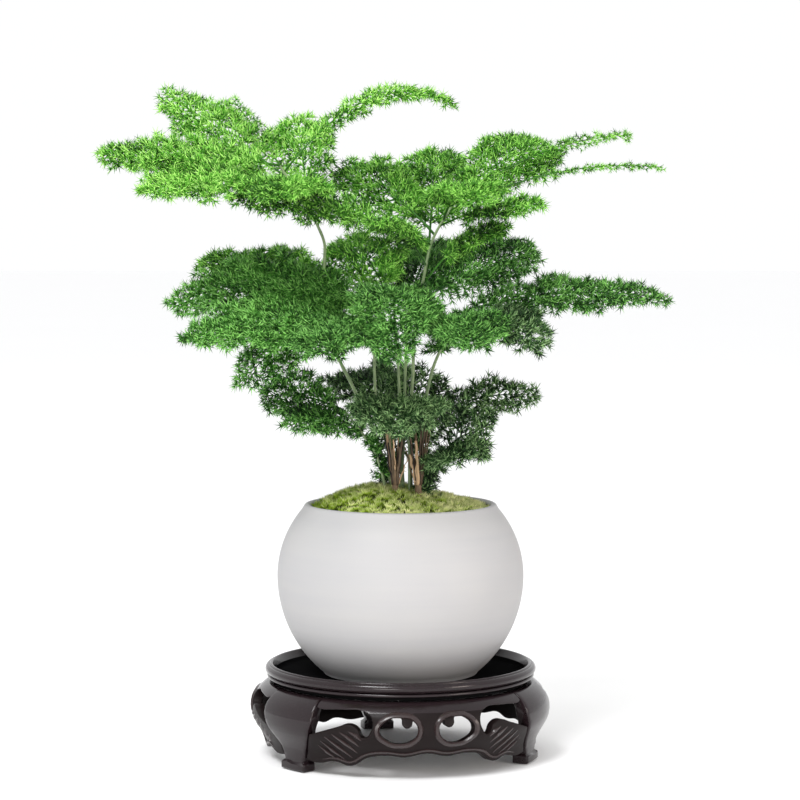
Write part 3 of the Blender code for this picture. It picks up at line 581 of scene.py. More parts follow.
dress_three(make_leg, "cabriole_leg", "stand_leg", WOOD)

# %% [markdown]
# The carver left three kinds of relief on each apron: a raised rim round each ring, slanting
# ribs on the two leaves, and a shallow line that follows the lower edge. Each is a
# slim rounded piece laid on the flat board and bent with it, which is close to how carved ornament
# reads, and lighter than cutting grooves into a fine mesh.

# %% The carved lines
APRON_DEPTH, APRON_ROUNDING, APRON_SETBACK = 5.5, 0.6, 0.8
APRON_FRONT = APRON_DEPTH / 2 - 0.1
APRON_RAIL_Z = 37
RIM_WIDTH, RIB_WIDTH, LOWER_LINE_WIDTH, LINE_END = 3.0, 2.5, 1.6, 0.25
RING_RIM = [(3.0, 27.5), (6.4, 20.6), (11.1, 19.2), (15.4, 20.6), (19.4, 27.5), (15.6, 35.0),
            (10.4, 36.2), (5.2, 34.4)]
LEAF_RIBS = [((25.4, 22.0), (27.2, 24.6), (30.2, 26.8)), ((26.6, 18.2), (29.6, 22.4), (33.6, 26.0)),
             ((27.8, 14.2), (32.0, 19.6), (37.0, 24.6)), ((30.2, 11.2), (35.0, 16.8), (40.2, 22.6)),
             ((33.6, 10.0), (38.4, 14.8), (42.6, 19.8)), ((37.6, 10.2), (41.4, 13.4), (44.4, 16.8))]
LOWER_LINE = [(44.2, 8.6), (38, 10.2), (31, 8.6), (24.4, 13.6), (16.5, 15.3), (8.5, 14.3), (0, 16.4)]


def relief_line(points, width, cyclic=False):
    """A raised rounded line on the front of the flat board."""
    line = empty_curve("3D", width / 2, 1)
    line.resolution_u = 4
    line.use_fill_caps = True
    draw_loop(line, points, (), cyclic)
    drawn = line.splines[0].bezier_points
    for point in drawn:
        point.co.z = APRON_FRONT
    if not cyclic:
        drawn[0].radius = drawn[-1].radius = LINE_END
    made = as_mesh()
    # The raised line takes the lighter wood: painted light on the carving.
    made.data.materials.append(LIT_CARVED_WOOD)
    return made


def carved_lines():
    """The rims, ribs and lower line of one apron, each rim and rib on both halves."""
    yield relief_line(RING_RIM, RIM_WIDTH, True)
    yield relief_line(mirrored(RING_RIM), RIM_WIDTH, True)
    for rib in LEAF_RIBS:
        yield relief_line(rib, RIB_WIDTH)
        yield relief_line(mirrored(rib), RIB_WIDTH)
    yield relief_line(LOWER_LINE + mirrored(LOWER_LINE[:-1]), LOWER_LINE_WIDTH)


print(len(LEAF_RIBS), "ribs on each leaf")


# %% The three aprons
def apron_outline():
    side = LEG_SPACING / 2 - 14.5 - 0.25
    seam = [(LEG_SPACING / 2 - 0.6 - leg_half_angle(z), z) for z in (23, 15, 7)]
    half = [(side, STAND_TOP_Z), (side, 38.2)] + APRON_TOP + APRON_LEAF + seam + APRON_FOOT
    outline = half + mirrored(half[:-1])
    first = half.index(seam[0])
    corners = [0, 1, first, first + 1, first + 2]
    return outline, corners + [len(outline) - 1 - i for i in corners]


def make_apron(number):
    outline, corners = apron_outline()
    ring = RING_CURL + RING_OPENING
    loops = [(outline, corners), (ring, ()), (mirrored(ring), ())]
    board = flat_piece(loops, APRON_DEPTH, APRON_ROUNDING, 5)
    lines = list(carved_lines())
    slice_board(board, 4.0)
    board.data.materials.append(SHADED_APRON_WOOD)
    board.data.materials.append(WOOD)
    # Below the rail the apron's ground takes the darker wood (painted shade); its shoulder above keeps
    # the plain lacquer, which catches the light.
    for face in board.data.polygons:
        face.material_index = int(face.center.y > APRON_RAIL_Z)
    make_active(board)
    for line in lines:
        line.select_set(True)
    bpy.ops.object.join()
    middle = FIRST_LEG_ANGLE + LEG_SPACING * (number + 0.5)
    bend_board(board, middle, APRON_DEPTH, APRON_SETBACK)
    finish_board(board, 50)
    return board


dress_three(make_apron, "carved_apron", "stand_apron")

# %% [markdown]
# ## The pot
#
# A ball pot is two half ellipses that meet at the widest ring, a rolled lip and a foot
# that is trimmed back so it can't rock. It is spun like the tray, with enough steps that
# no flat shows on its outline.

# %% Throw the pot
POT_RADIUS, POT_WIDEST_Z, POT_RIM_Z, POT_WALL = 70.0, 102.0, 142.9, 4.4
POT_UPPER_AXIS, POT_LOWER_AXIS = 62.7, 70.5
POT_FOOT_Z, FOOT_RECESS, FOOT_ROUND, LIP_ROUND = 46.0, 2.0, 1.2, 2.1


def pot_radius(z):
    """Two half ellipses that meet at the widest ring."""
    axis = POT_UPPER_AXIS if z > POT_WIDEST_Z else POT_LOWER_AXIS
    return POT_RADIUS * math.sqrt(max(1 - ((z - POT_WIDEST_Z) / axis) ** 2, 0))


def make_pot():
    floor_z = POT_FOOT_Z + FOOT_RECESS + POT_WALL
    inner = [(0, floor_z), (pot_radius(floor_z) - POT_WALL - 3, floor_z)]
    for i in range(1, 17):
        z = floor_z + (POT_RIM_Z - 4 - floor_z) * i / 16
        inner.append((pot_radius(z) - POT_WALL, z))
    lip_z = POT_RIM_Z - LIP_ROUND
    lip = list(arc((pot_radius(lip_z) - LIP_ROUND, lip_z), LIP_ROUND, 170, 20, 10))
    foot_z = POT_FOOT_Z + FOOT_ROUND
    outer = []
    for i in range(41):
        z = lip_z - 1.2 + (foot_z - lip_z + 1.2) * i / 40
        outer.append((pot_radius(z), z))
    foot = list(arc((pot_radius(foot_z) - FOOT_ROUND, foot_z), FOOT_ROUND, -15, -90, 4))
    under_z = POT_FOOT_Z + FOOT_RECESS
    under = [(37.5, POT_FOOT_Z), (36, under_z), (0, under_z)]
    profile = [(r * MM, z * MM) for r, z in inner + lip + outer + foot + under]
    return turn_profile(profile, 112)


pot = make_pot()
print("pot faces:", hand_over(pot, "ball_pot", "pot", "white_ceramic", GLAZE))

# %% [markdown]
# ## Moss on the soil
#
# The soil is hidden under a cushion of moss, which crests left of the middle. Real moss is
# thousands of small green stars. One star is modelled from slim three-sided blades and then
# copied over the mound, standing along its slope. The mound below it is dark, as
# the shaded inside of moss is, so gaps between the stars read as depth.

# %% The mound
MOSS_RADIUS, MOSS_EDGE_Z, MOSS_RISE, MOSS_PEAK_X = 49.8, 139.0, 12.5, -16.0
LUMP_HEIGHT, COARSE_LUMP, FINE_LUMP = 1.6, 9, 4.5
MOUND_SIDE = [(50.8, 136.0), (49.8, 134.3), (0, 134.3)]
MOUND_RINGS, MOUND_SUNK = 20, 0.6


def moss_height(x, y):
    """The mound's height in millimetres, measured from the pot's axis."""
    reach = min(math.hypot(x, y) / MOSS_RADIUS, 1)
    crest = math.hypot(x - MOSS_PEAK_X * (1 - reach), y) / MOSS_RADIUS
    coarse = noise.noise(Vector((x, y, 0)) / COARSE_LUMP)
    lump = coarse + 0.7 * noise.noise(Vector((x, y, MM)) / FINE_LUMP)
    mound = MOSS_RISE * max(1 - crest**2, 0) * (1 - 0.2 * max(x, 0) / MOSS_RADIUS)
    return MOSS_EDGE_Z + mound + LUMP_HEIGHT * lump * (1 - reach**4)


def make_mound():
    top = [(MOSS_RADIUS * i / MOUND_RINGS, MOSS_EDGE_Z) for i in range(MOUND_RINGS + 1)]
    mound = turn_profile([(r * MM, z * MM) for r, z in top + MOUND_SIDE], 72)
    for vert in mound.data.vertices:
        if vert.co.z > (MOSS_EDGE_Z - 0.01) * MM:
            x, y = (vert.co.x - AXIS[0]) / MM, (vert.co.y - AXIS[1]) / MM
            vert.co.z = (moss_height(x, y) - MOUND_SUNK) * MM
    return mound


mound = make_mound()
print("mound top at", round(max(v.co.z for v in mound.data.vertices) / MM, 1), "mm")


# %% A star modelled once
def spiky_star(blades, length, radius, lean):
    """Slim three-sided blades round an upright axis. Returns its corners and triangles."""
    clear_selection()
    bpy.ops.mesh.primitive_cone_add(vertices=3, radius1=radius * MM, radius2=0, depth=length * MM,
                                    location=(0, 0, length * MM / 2))
    star = bpy.context.object
    with edit_mode():
        bpy.ops.transform.rotate(value=math.radians(lean), orient_axis="Y", center_override=(0, 0, 0))
        bpy.ops.mesh.spin(steps=blades - 1, angle=math.tau * (blades - 1) / blades, dupli=True,
                          center=(0, 0, 0), axis=(0, 0, 1))
    settle(star)
    corners = np.array([v.co for v in star.data.vertices])
    triangles = []
    for face in star.data.polygons:
        ids = list(face.vertices)
        triangles += [(ids[0], ids[i], ids[i + 1]) for i in range(1, len(ids) - 1)]
    bpy.data.objects.remove(star)
    return corners, np.array(triangles)


MOSS_STAR = spiky_star(8, 4.0, 0.4, 30)
print("a moss star has", len(MOSS_STAR[1]), "triangles")


# %% Copies as arrays
def turned_frames(axes, rolls):
    """One rotation for each axis, which takes +Z to it and turns by the roll."""
    axes = axes / np.linalg.norm(axes, axis=1)[:, None]
    helper = np.where(np.abs(axes[:, 2:3]) > 0.9, (1.0, 0.0, 0.0), (0.0, 0.0, 1.0))
    first = np.cross(helper, axes)
    first /= np.linalg.norm(first, axis=1)[:, None]
    second = np.cross(axes, first)
    across = first * np.cos(rolls)[:, None] + second * np.sin(rolls)[:, None]
    return np.stack((across, np.cross(axes, across), axes), axis=2)


def copies(shape, places, axes, rolls, sizes):
    """The shape's corners and triangles at every place."""
    corners, triangles = shape
    frames = turned_frames(axes, rolls)
    placed = places[:, None] + sizes[:, None, None] * np.einsum("nij,kj->nki", frames, corners)
    shifts = np.arange(len(places))[:, None, None] * len(corners)
    return placed.reshape(-1, 3), (triangles[None] + shifts).reshape(-1, 3)


def give_tone(mesh, tones):
    tone = mesh.attributes.new("tone", "FLOAT", "POINT")
    tone.data.foreach_set("value", tones.astype(np.float32))


def mesh_object(name, corners, triangles, tones):
    """An object from arrays, with one number from 0 to 1 at each corner as its tone."""
    mesh = bpy.data.meshes.new(name)
    mesh.vertices.add(len(corners))
    mesh.vertices.foreach_set("co", corners.astype(np.float32).ravel())
    mesh.loops.add(3 * len(triangles))
    mesh.loops.foreach_set("vertex_index", triangles.astype(np.int32).ravel())
    mesh.polygons.add(len(triangles))
    mesh.polygons.foreach_set("loop_start", np.arange(0, 3 * len(triangles), 3, dtype=np.int32))
    mesh.update(calc_edges=True)
    give_tone(mesh, tones)
    obj = bpy.data.objects.new(name, mesh)
    bpy.context.scene.collection.objects.link(obj)
    return obj


def joined(shapes):
    """Several shapes' corners and triangles as one shape."""
    starts = np.cumsum([0] + [len(corners) for corners, _ in shapes])
    return (np.concatenate([corners for corners, _ in shapes]),
            np.concatenate([ids + start for (_, ids), start in zip(shapes, starts)]))


def tube(points, radii, sides=3):
    """A closed tapering tube through the points."""
    points, radii = np.array(points), np.array(radii)
    heads = np.gradient(points, axis=0)
    frames = turned_frames(heads, np.zeros(len(points)))
    angles = np.arange(sides) * math.tau / sides
    ring = np.stack((np.cos(angles), np.sin(angles), 0 * angles), axis=1)
    corners = points[:, None] + radii[:, None, None] * np.einsum("nij,kj->nki", frames, ring)
    triangles = []
    for i in range(len(points) - 1):
        for k in range(sides):
            a, b = i * sides + k, i * sides + (k + 1) % sides
            triangles += [(a, b, b + sides), (a, b + sides, a + sides)]
    last = (len(points) - 1) * sides
    triangles += [(0, k + 1, k) for k in range(1, sides - 1)]
    triangles += [(last, last + k, last + k + 1) for k in range(1, sides - 1)]
    return corners.reshape(-1, 3), np.array(triangles)


print("copies are made with arrays")


# %% Grow the moss
GOLDEN_TURN = math.radians(137.5)
DOME_REACH, DOME_SUNK, STAR_TIP = 48.6, 1.9, 1.5
# Tone added at the blades' tips and taken from their feet: painted light and painted shade.
TIP_TONE, FOOT_TONE = 0.55, -0.4


def moss_finish(deep, middle, bright):
    moss = Finish("moss", Roughness=0.8, Specular_IOR_Level=0.25)
    patches = moss.noise(14, 2)
    share = (moss.tone() + sharpened(patches, 0.35, 0.65) * 0.2 - 0.1).clamp()
    body = moss.mix(sharpened(share, 0.0, 0.55), deep, middle)
    moss.paint(moss.mix(sharpened(share, 0.5, 1.0), body, bright))
    moss.bump(moss.noise(1.2, 3), 0.4, 0.3)
    return moss.material


def grow_moss(clumps, stars):
    """Domes of stars, spread evenly over the mound. The foot of each dome is darker: painted shade
    between the domes.
    """
    draw = np.random.default_rng(7)
    places, axes, tones = [], [], []
    for i in range(clumps):
        reach = DOME_REACH * math.sqrt((i + 0.5) / clumps)
        turn = i * GOLDEN_TURN + draw.normal(0, 0.06)
        middle = np.array((math.cos(turn), math.sin(turn))) * reach
        dome = draw.uniform(2.6, 4.0)
        fresh = draw.normal(0.98, 0.17) - 0.6 * max(-middle[0] / 50, 0)  # darker to the left
        for _ in range(stars):
            spread = math.sqrt(draw.uniform(0, 1))
            way = draw.uniform(0, math.tau)
            step = np.array((math.cos(way), math.sin(way))) * spread
            x, y = middle + step * dome
            z = moss_height(x, y) - DOME_SUNK + 0.7 * dome * (1 - spread**2)
            places.append((x, y, z))
            axes.append((*(step * 0.55 + draw.normal(0, 0.12, 2)), 1))
            # Stars near a dome's foot get a lower tone: painted shade between the domes.
            tones.append(fresh - 0.8 * spread**2 + draw.normal(0, 0.1))
    places = np.array(places) * MM + AXIS
    sizes = draw.uniform(0.75, 1.15, len(places))
    rolls = draw.uniform(0, math.tau, len(places))
    corners, triangles = copies(MOSS_STAR, places, np.array(axes), rolls, sizes)
    tip = np.linalg.norm(MOSS_STAR[0], axis=1) > STAR_TIP * MM
    # Blade tips are lighter and blade feet darker: painted light on the tips, painted shade at the
    # feet.
    tone = np.array(tones)[:, None] + np.where(tip, TIP_TONE, FOOT_TONE)
    return corners, triangles, tone.clip(0, 1).ravel()


MOSS = moss_finish((0.006, 0.014, 0.002, 1), (0.34, 0.52, 0.03, 1), (1.0, 1.0, 0.5, 1))
stars = mesh_object("moss_stars", *grow_moss(290, 8))
stars.data.materials.append(MOSS)
# The mound under the stars gets the lowest tone, the deepest green: painted shade inside the moss.
give_tone(mound.data, np.zeros(len(mound.data.vertices)))
mound.data.materials.append(MOSS)
make_active(mound)
stars.select_set(True)
bpy.ops.object.join()
print("moss faces:", hand_over(mound, "moss_cushion", "moss", "moss_green"))

# %% [markdown]
# ## The canes
#
# The plant sends up a fan of thin canes from one clump. Each cane passes through points
# measured on the photograph. A curve with a round bevel keeps it smooth and lets its
# thickness change along its length: it tapers, and it swells a little at each joint.
# Two old canes are brown crowns. Each bears stout dry stems that were cut back, and many thin
# ones between them, some bleached and some nearly black, so the clump reads as one dense mass.

# %% The canes' routes
CANES = {
    "cane_tall_left": (1.15, 0.75, (-5, 1.5), [(-16, 0, 185), (-29, 2, 213), (-39, 4, 235),
                       (-44, 5, 267), (-43, 4, 290), (-53, 0, 311), (-68, -4, 334)]),
    "cane_mid_left": (1.05, 0.75, (-1, -8), [(-8, -7, 185), (-14, -5, 204), (-15, -3, 235),
                      (-18, -2, 258)]),
    "cane_middle": (1.05, 0.75, (1.5, -1.5), [(0, 0, 184), (-1, 2, 215), (-4, 4, 258)]),
    "cane_tall_right": (1.15, 0.7, (6, 4), [(5, 4, 184), (7, 5, 214), (8, 6, 240), (12, 6, 264),
                        (17, 4, 289), (24, 2, 303), (33, 0, 317)]),
    "cane_dark_right": (1.1, 0.75, (11.5, 4), [(13, 5, 190), (18, 4, 218), (26, 2, 236),
                        (36, 0, 252)]),
    "cane_back": (1.05, 0.75, (0.5, 9), [(2, 13, 184), (3, 22, 223), (5, 32, 257)]),
    "cane_low_left": (0.95, 0.65, (-9, -5), [(-14, -7, 172), (-22, -10, 184), (-31, -12, 196)]),
    "cane_low_front": (0.95, 0.65, (5, -6.5), [(5, -7, 172), (4.5, -10, 192)]),
    "cane_low_back": (0.95, 0.65, (-6, 8.5), [(-5, 16, 178), (-7, 26, 197)]),
    "cane_low_bush": (0.95, 0.65, (14, -8), [(19, -13, 166), (26, -18, 175)]),
    "cane_old_tan": (2.3, 2.1, (10, -16), [(10, -16, 157)]),
    "cane_old_brown": (2.3, 2.1, (-3, -16.5), [(-3, -16.5, 157)]),
}
DRY_STEMS = {"cane_old_tan": (18, 27, 15, 23, 31), "cane_old_brown": (24, 16, 28, 19, 22)}
BURIED_Z, UPRIGHT_Z = 121.8, 154.0


def smooth_path(points, pieces):
    """Points on a smooth curve through the given ones."""
    ends = [2 * points[0] - points[1]] + points + [2 * points[-1] - points[-2]]
    path = [points[0]]
    for before, start, end, after in zip(ends, ends[1:], ends[2:], ends[3:]):
        for i in range(1, pieces + 1):
            t = i / pieces
            path.append(0.5 * (2 * start + (end - before) * t
                               + (2 * before - 5 * start + 4 * end - after) * t**2
                               + (3 * start - before - 3 * end + after) * t**3))
    return path


def cane_route(name, pieces):
    """The cane's points in millimetres from the pot's axis, from inside the soil to its end."""
    _, _, (x, y), points = CANES[name]
    bend = smooth_path([np.array(point, float) for point in [(x, y, UPRIGHT_Z)] + points], pieces)
    return [np.array((x, y, BURIED_Z))] + bend


def step_lengths(path):
    return [np.linalg.norm(b - a) for a, b in zip(path, path[1:])]


def along_path(path, share):
    """The point at a share of the path's length."""
    lengths = step_lengths(path)
    left = share * sum(lengths)
    for a, b, length in zip(path, path[1:], lengths):
        if left <= length or b is path[-1]:
            return a + (b - a) * min(left / length, 1)
        left -= length


longest = max(sum(step_lengths(cane_route(name, 4))) for name in CANES)
print(len(CANES), "canes, the longest", round(longest), "mm")


# %% Draw the canes
CANE_SLIM, CANE_CREASE = 0.92, 60
JOINT_SWELL, JOINT_LENGTH = 0.14, 1.2


def cane_finish(deep, bright):
    cane = Finish("cane_skin", Specular_IOR_Level=0.5)
    streaks = cane.noise(1.1, 4, (1, 1, 0.12))
    patches = sharpened(cane.noise(9, 2), 0.35, 0.7)
    cane.paint(cane.mix((streaks * 0.7 + patches * 0.4).clamp(), deep, bright), 0.38 + streaks * 0.2)
    cane.bump(streaks, 0.4, 0.1)
    return cane.material


def draw_stem(curve, route, foot_radius, tip_radius, joint):
    """A run of points whose thickness tapers and swells at each joint."""
    spline = curve.splines.new("POLY")
    spline.points.add(len(route) - 1)
    travelled = 0.0
    for i, point in enumerate(route):
        travelled += np.linalg.norm(point - route[i - 1]) if i else 0
        spline.points[i].co = (*(point * MM + AXIS), 1)
        swell = math.exp(-(((travelled + 7) % joint - joint / 2) / JOINT_LENGTH) ** 2)
        taper = foot_radius + (tip_radius - foot_radius) * i / (len(route) - 1)
        spline.points[i].radius = taper * (1 + JOINT_SWELL * swell)


def make_cane(name):
    foot_radius, tip_radius, _, _ = CANES[name]
    coarse = cane_route(name, 2)
    curve = empty_curve("3D", MM, 2)
    curve.use_fill_caps = True
    route = [coarse[0]] + smooth_path(coarse[1:], 5)
    joint = 14.0 + 3 * (len(name) % 3)
    draw_stem(curve, route, foot_radius * CANE_SLIM, tip_radius * CANE_SLIM, joint)
    obj = as_mesh()
    bpy.ops.object.shade_smooth_by_angle(angle=math.radians(CANE_CREASE))
    return obj


print("green canes to draw:", len(CANES) - len(DRY_STEMS))


# %% The two old crowns
STOUT_RADIUS, THIN_STEMS = 1.15, 16
STOUT_TONES, THIN_TONES = (0.1, 0.25, 0.5, 0.8), (0.0, 0.0, 0.1, 0.2, 0.9)
CROWN_SPREAD = (4.8, 2.8, 0)


def crown_stems(name):
    """A crown's stems as routes with a foot radius and a tone: five stout ones and many thin ones."""
    crown = cane_route(name, 2)[-1]
    draw = np.random.default_rng(len(name))
    stout = [(turn, 1.0, height, STOUT_RADIUS, draw.choice(STOUT_TONES)) for turn, height in
             zip(np.arange(5) * math.tau / 5 + math.pi / 5, DRY_STEMS[name])]
    thin = [(draw.uniform(0, math.tau), draw.uniform(0.4, 1.7), draw.uniform(14, 34),
             draw.uniform(0.45, 0.75), draw.choice(THIN_TONES)) for _ in range(THIN_STEMS)]
    for turn, spread, height, radius, tone in stout + thin:
        out = np.array((math.cos(turn), math.sin(turn), 0))
        top = crown + out * CROWN_SPREAD * spread + UP * height
        root = crown + out * 1.1 * spread - UP * 2
        bends = [root + (top - root) * k / 6 + draw.normal(0, 0.3, 3) for k in range(1, 6)]
        yield smooth_path([root] + bends + [top], 2), radius, tone


def make_crown(name):
    """The stump of an old cane with its dry stems, each with its own tone."""
    foot_radius, tip_radius, _, _ = CANES[name]
    stump = cane_route(name, 2)
    tubes, tones = [], []
    for route, radius, tone in [(stump, foot_radius * CANE_SLIM, 0.25)] + list(crown_stems(name)):
        end = tip_radius * CANE_SLIM if route is stump else radius * 0.7
        tubes.append(tube(route, np.linspace(radius, end, len(route)), 6))
        tones.append(np.full(len(tubes[-1][0]), tone))
    corners, triangles = joined(tubes)
    return mesh_object(name, corners * MM + AXIS, triangles, np.concatenate(tones))


def crown_finish(deep, bright):
    dry = Finish("dry_cane_skin", Specular_IOR_Level=0.3)
    streaks = dry.noise(0.9, 4, (1, 1, 0.15))
    share = (dry.tone() + streaks * 0.5 - 0.25).clamp()
    dry.paint(dry.mix(share, deep, bright), 0.5 + streaks * 0.2)
    dry.bump(streaks, 0.5, 0.15)
    return dry.material


CANE_GREEN = cane_finish((0.06, 0.115, 0.035, 1), (0.30, 0.40, 0.20, 1))
CANE_BROWN = crown_finish((0.006, 0.004, 0.003, 1), (0.56, 0.38, 0.22, 1))
count = 0
for name in CANES:
    old = name in DRY_STEMS
    piece = make_crown(name) if old else make_cane(name)
    slot, skin = ("cane_brown", CANE_BROWN) if old else ("cane_green", CANE_GREEN)
    count += hand_over(piece, name.replace("cane", "stem"), name, slot, skin)
print("stem faces:", count)

# %% [markdown]
# ## The sprays
#
# What look like needles are short green shoots, about five millimetres long and as fine as
# a hair. They stand in tufts, on twigs, on side branches that leave the main stalk left and
# right in one flat plane. That rule is simple enough to write down, so each spray is grown
# from its stalk by the rule with a seeded random draw. Only the tuft is modelled.

# %% The sprays' stalks
FRONDS = {
    "frond_a_left": ("cane_tall_left", 1, (-164, -40, 339), 29, 3, 32, 0.05),
    "frond_a_upper": ("cane_tall_left", 0.96, (-137, 45, 377), 24, 1, 45, 0.2),
    "frond_a_notch": ("cane_tall_left", 0.92, (-97, 45, 373), 8, 1, 40, 0.3),
    "frond_a_arch": ("cane_tall_left", 0.98, (31, 15, 369), 11, 22, 30, 0.15),
    "frond_a_right": ("cane_tall_left", 0.87, (-60, 45, 362), 26, 5, 45, 0.15),
    "frond_a_low": ("cane_tall_left", 0.94, (-136, -75, 318), 34, 8, 25, 0.15),
    "frond_a_front": ("cane_tall_left", 0.9, (-66, -85, 316), 34, 10, 15, 0.12),
    "frond_b_left": ("cane_tall_right", 0.84, (-92, -55, 315), 22, 9, 32, 0.25),
    "frond_b_front": ("cane_tall_right", 0.78, (-14, -64, 302), 18, 8, 15, 0.2),
    "frond_b_back_left": ("cane_tall_right", 0.87, (-33, 48, 335), 28, 5, 42, 0.2),
    "frond_b_right": ("cane_tall_right", 1, (88, 35, 345), 30, 7, 42, 0.05),
    "frond_b_right_low": ("cane_tall_right", 0.9, (78, -35, 312), 17, 4, 28, 0.2),
    "frond_b_shelf": ("cane_tall_right", 0.72, (60, -15, 298), 15, 10, 30, 0.25),
    "frond_b_wisp_up": ("cane_tall_right", 0.98, (132, 28, 352), 7, 9, 30, 0.4),
    "frond_b_wisp_low": ("cane_tall_right", 0.95, (146, -10, 333), 5, 9, 20, 0.45),
    "frond_b_front_right": ("cane_tall_right", 0.92, (42, -75, 314), 28, 12, 15, 0.12),
    "frond_b_back": ("cane_tall_right", 0.81, (22, 78, 343), 32, 5, 22, 0.2),
    "frond_c_upper": ("cane_mid_left", 0.97, (-116, 40, 279), 26, 8, 36, 0.12),
    "frond_c_left": ("cane_mid_left", 1, (-128, -15, 256), 33, 12, 34, 0.08),
    "frond_c_front": ("cane_mid_left", 0.92, (-113, -80, 239), 34, 8, 25, 0.12),
    "frond_c_droop": ("cane_mid_left", 0.83, (-88, -50, 213), 21, 18, 35, 0.5),
    "frond_c_back": ("cane_mid_left", 0.88, (-85, 75, 260), 32, 6, 20, 0.2),
    "frond_d_front_left": ("cane_mid_left", 0.85, (-44, -98, 233), 34, 10, 15, 0.12),
    "frond_d_back_left": ("cane_middle", 0.96, (-30, 60, 293), 28, 5, 40, 0.2),
    "frond_d_front": ("cane_middle", 1, (-3, -100, 230), 32, 18, 15, 0.1),
    "frond_d_back": ("cane_back", 1, (22, 96, 290), 32, 5, 25, 0.05),
    "frond_d_back_right": ("cane_back", 0.94, (78, 55, 286), 29, 7, 38, 0.2),
    "frond_d_long": ("cane_dark_right", 1, (150, -10, 259), 20, 7, 33, 0.05),
    "frond_d_right_low": ("cane_dark_right", 0.88, (76, -60, 234), 27, 13, 28, 0.12),
    "frond_d_front_right": ("cane_dark_right", 0.82, (40, -94, 236), 30, 15, 15, 0.12),
    "frond_e_left": ("cane_low_left", 1, (-76, -20, 205), 22, 4, 42, 0.05),
    "frond_e_left_low": ("cane_low_left", 0.82, (-62, -48, 190), 16, 7, 38, 0.1),
    "frond_e_right": ("cane_dark_right", 0.5, (78, -2, 204), 16, 6, 50, 0.1),
    "frond_e_front": ("cane_low_front", 1, (-6, -80, 190), 34, 12, 20, 0.05),
    "frond_e_core": ("cane_low_back", 0.5, (16, 34, 216), 29, 2, 72, 0.1),
    "frond_e_bush": ("cane_low_bush", 1, (47, -30, 185), 25, 4, 64, 0.05),
    "frond_e_low": ("cane_low_bush", 0.75, (34, -45, 171), 18, 6, 38, 0.1),
    "frond_e_back": ("cane_low_back", 1, (-26, 70, 212), 34, 5, 40, 0.05),
}


def unit(vector):
    return vector / np.linalg.norm(vector)


class Stalk:
    """A spray's main stalk: a bow from its cane to its tip, in millimetres from the pot's axis."""

    def __init__(self, name):
        cane, share, tip, self.width, arch, self.lean, self.bare = FRONDS[name]
        self.root = along_path(cane_route(cane, 2), share)
        self.tip = np.array(tip, float)
        self.bow = (self.root + self.tip) / 2 + UP * 2 * arch
        self.length = np.linalg.norm(self.tip - self.root)

    def at(self, t):
        return self.root * (1 - t) ** 2 + self.bow * 2 * t * (1 - t) + self.tip * t**2

    def along(self, t):
        return unit((self.bow - self.root) * (1 - t) + (self.tip - self.bow) * t)


def plane_of(along, lean):
    """Across and upward directions of a flat spray that leans to the front."""
    level = np.array((0, -math.sin(math.radians(lean)), math.cos(math.radians(lean))))
    across = unit(np.cross(along, level))
    return across, np.cross(across, along)


WIDEST_SHARE, FIRST_WIDTH, TIP_WIDTH = 0.33, 0.55, 0.22


def outline_share(spread):
    """How far the side branches reach, from the first (0) to the tip (1)."""
    if spread < WIDEST_SHARE:
        return FIRST_WIDTH + (1 - FIRST_WIDTH) * spread / WIDEST_SHARE
    return 1 - (1 - TIP_WIDTH) * ((spread - WIDEST_SHARE) / (1 - WIDEST_SHARE)) ** 1.45


print(len(FRONDS), "sprays")


# %% Tufts, twigs and branches
LAYER_LETTER = len("frond_")
TUFT = spiky_star(6, 5.0, 0.47, 46)
BRANCH_SPACING, TWIG_SPACING = 4.75, 2.35
TUFT_SPACING = {"a": 2.5, "b": 2.35, "c": 2.1, "d": 1.95, "e": 1.85}
BRANCH_LEAN, BRANCH_DROOP, BRANCH_STEP = math.radians(32), 0.12, 6
BRANCH_RADII, TWIG_RADII = (0.5, 0.16), (0.26, 0.14)
LONGEST_TWIG, TIP_TWIG, TWIG_OPENING = 7.0, 2.4, (38, 58)
FORK_TUFT_CHANCE = 0.6
WIDE_SPRAY, WIDE_STALK, NARROW_STALK, STALK_END = 18, 0.8, 0.6, 0.22
NEEDLE_CORNERS, NEEDLE_TIP = 4, 3


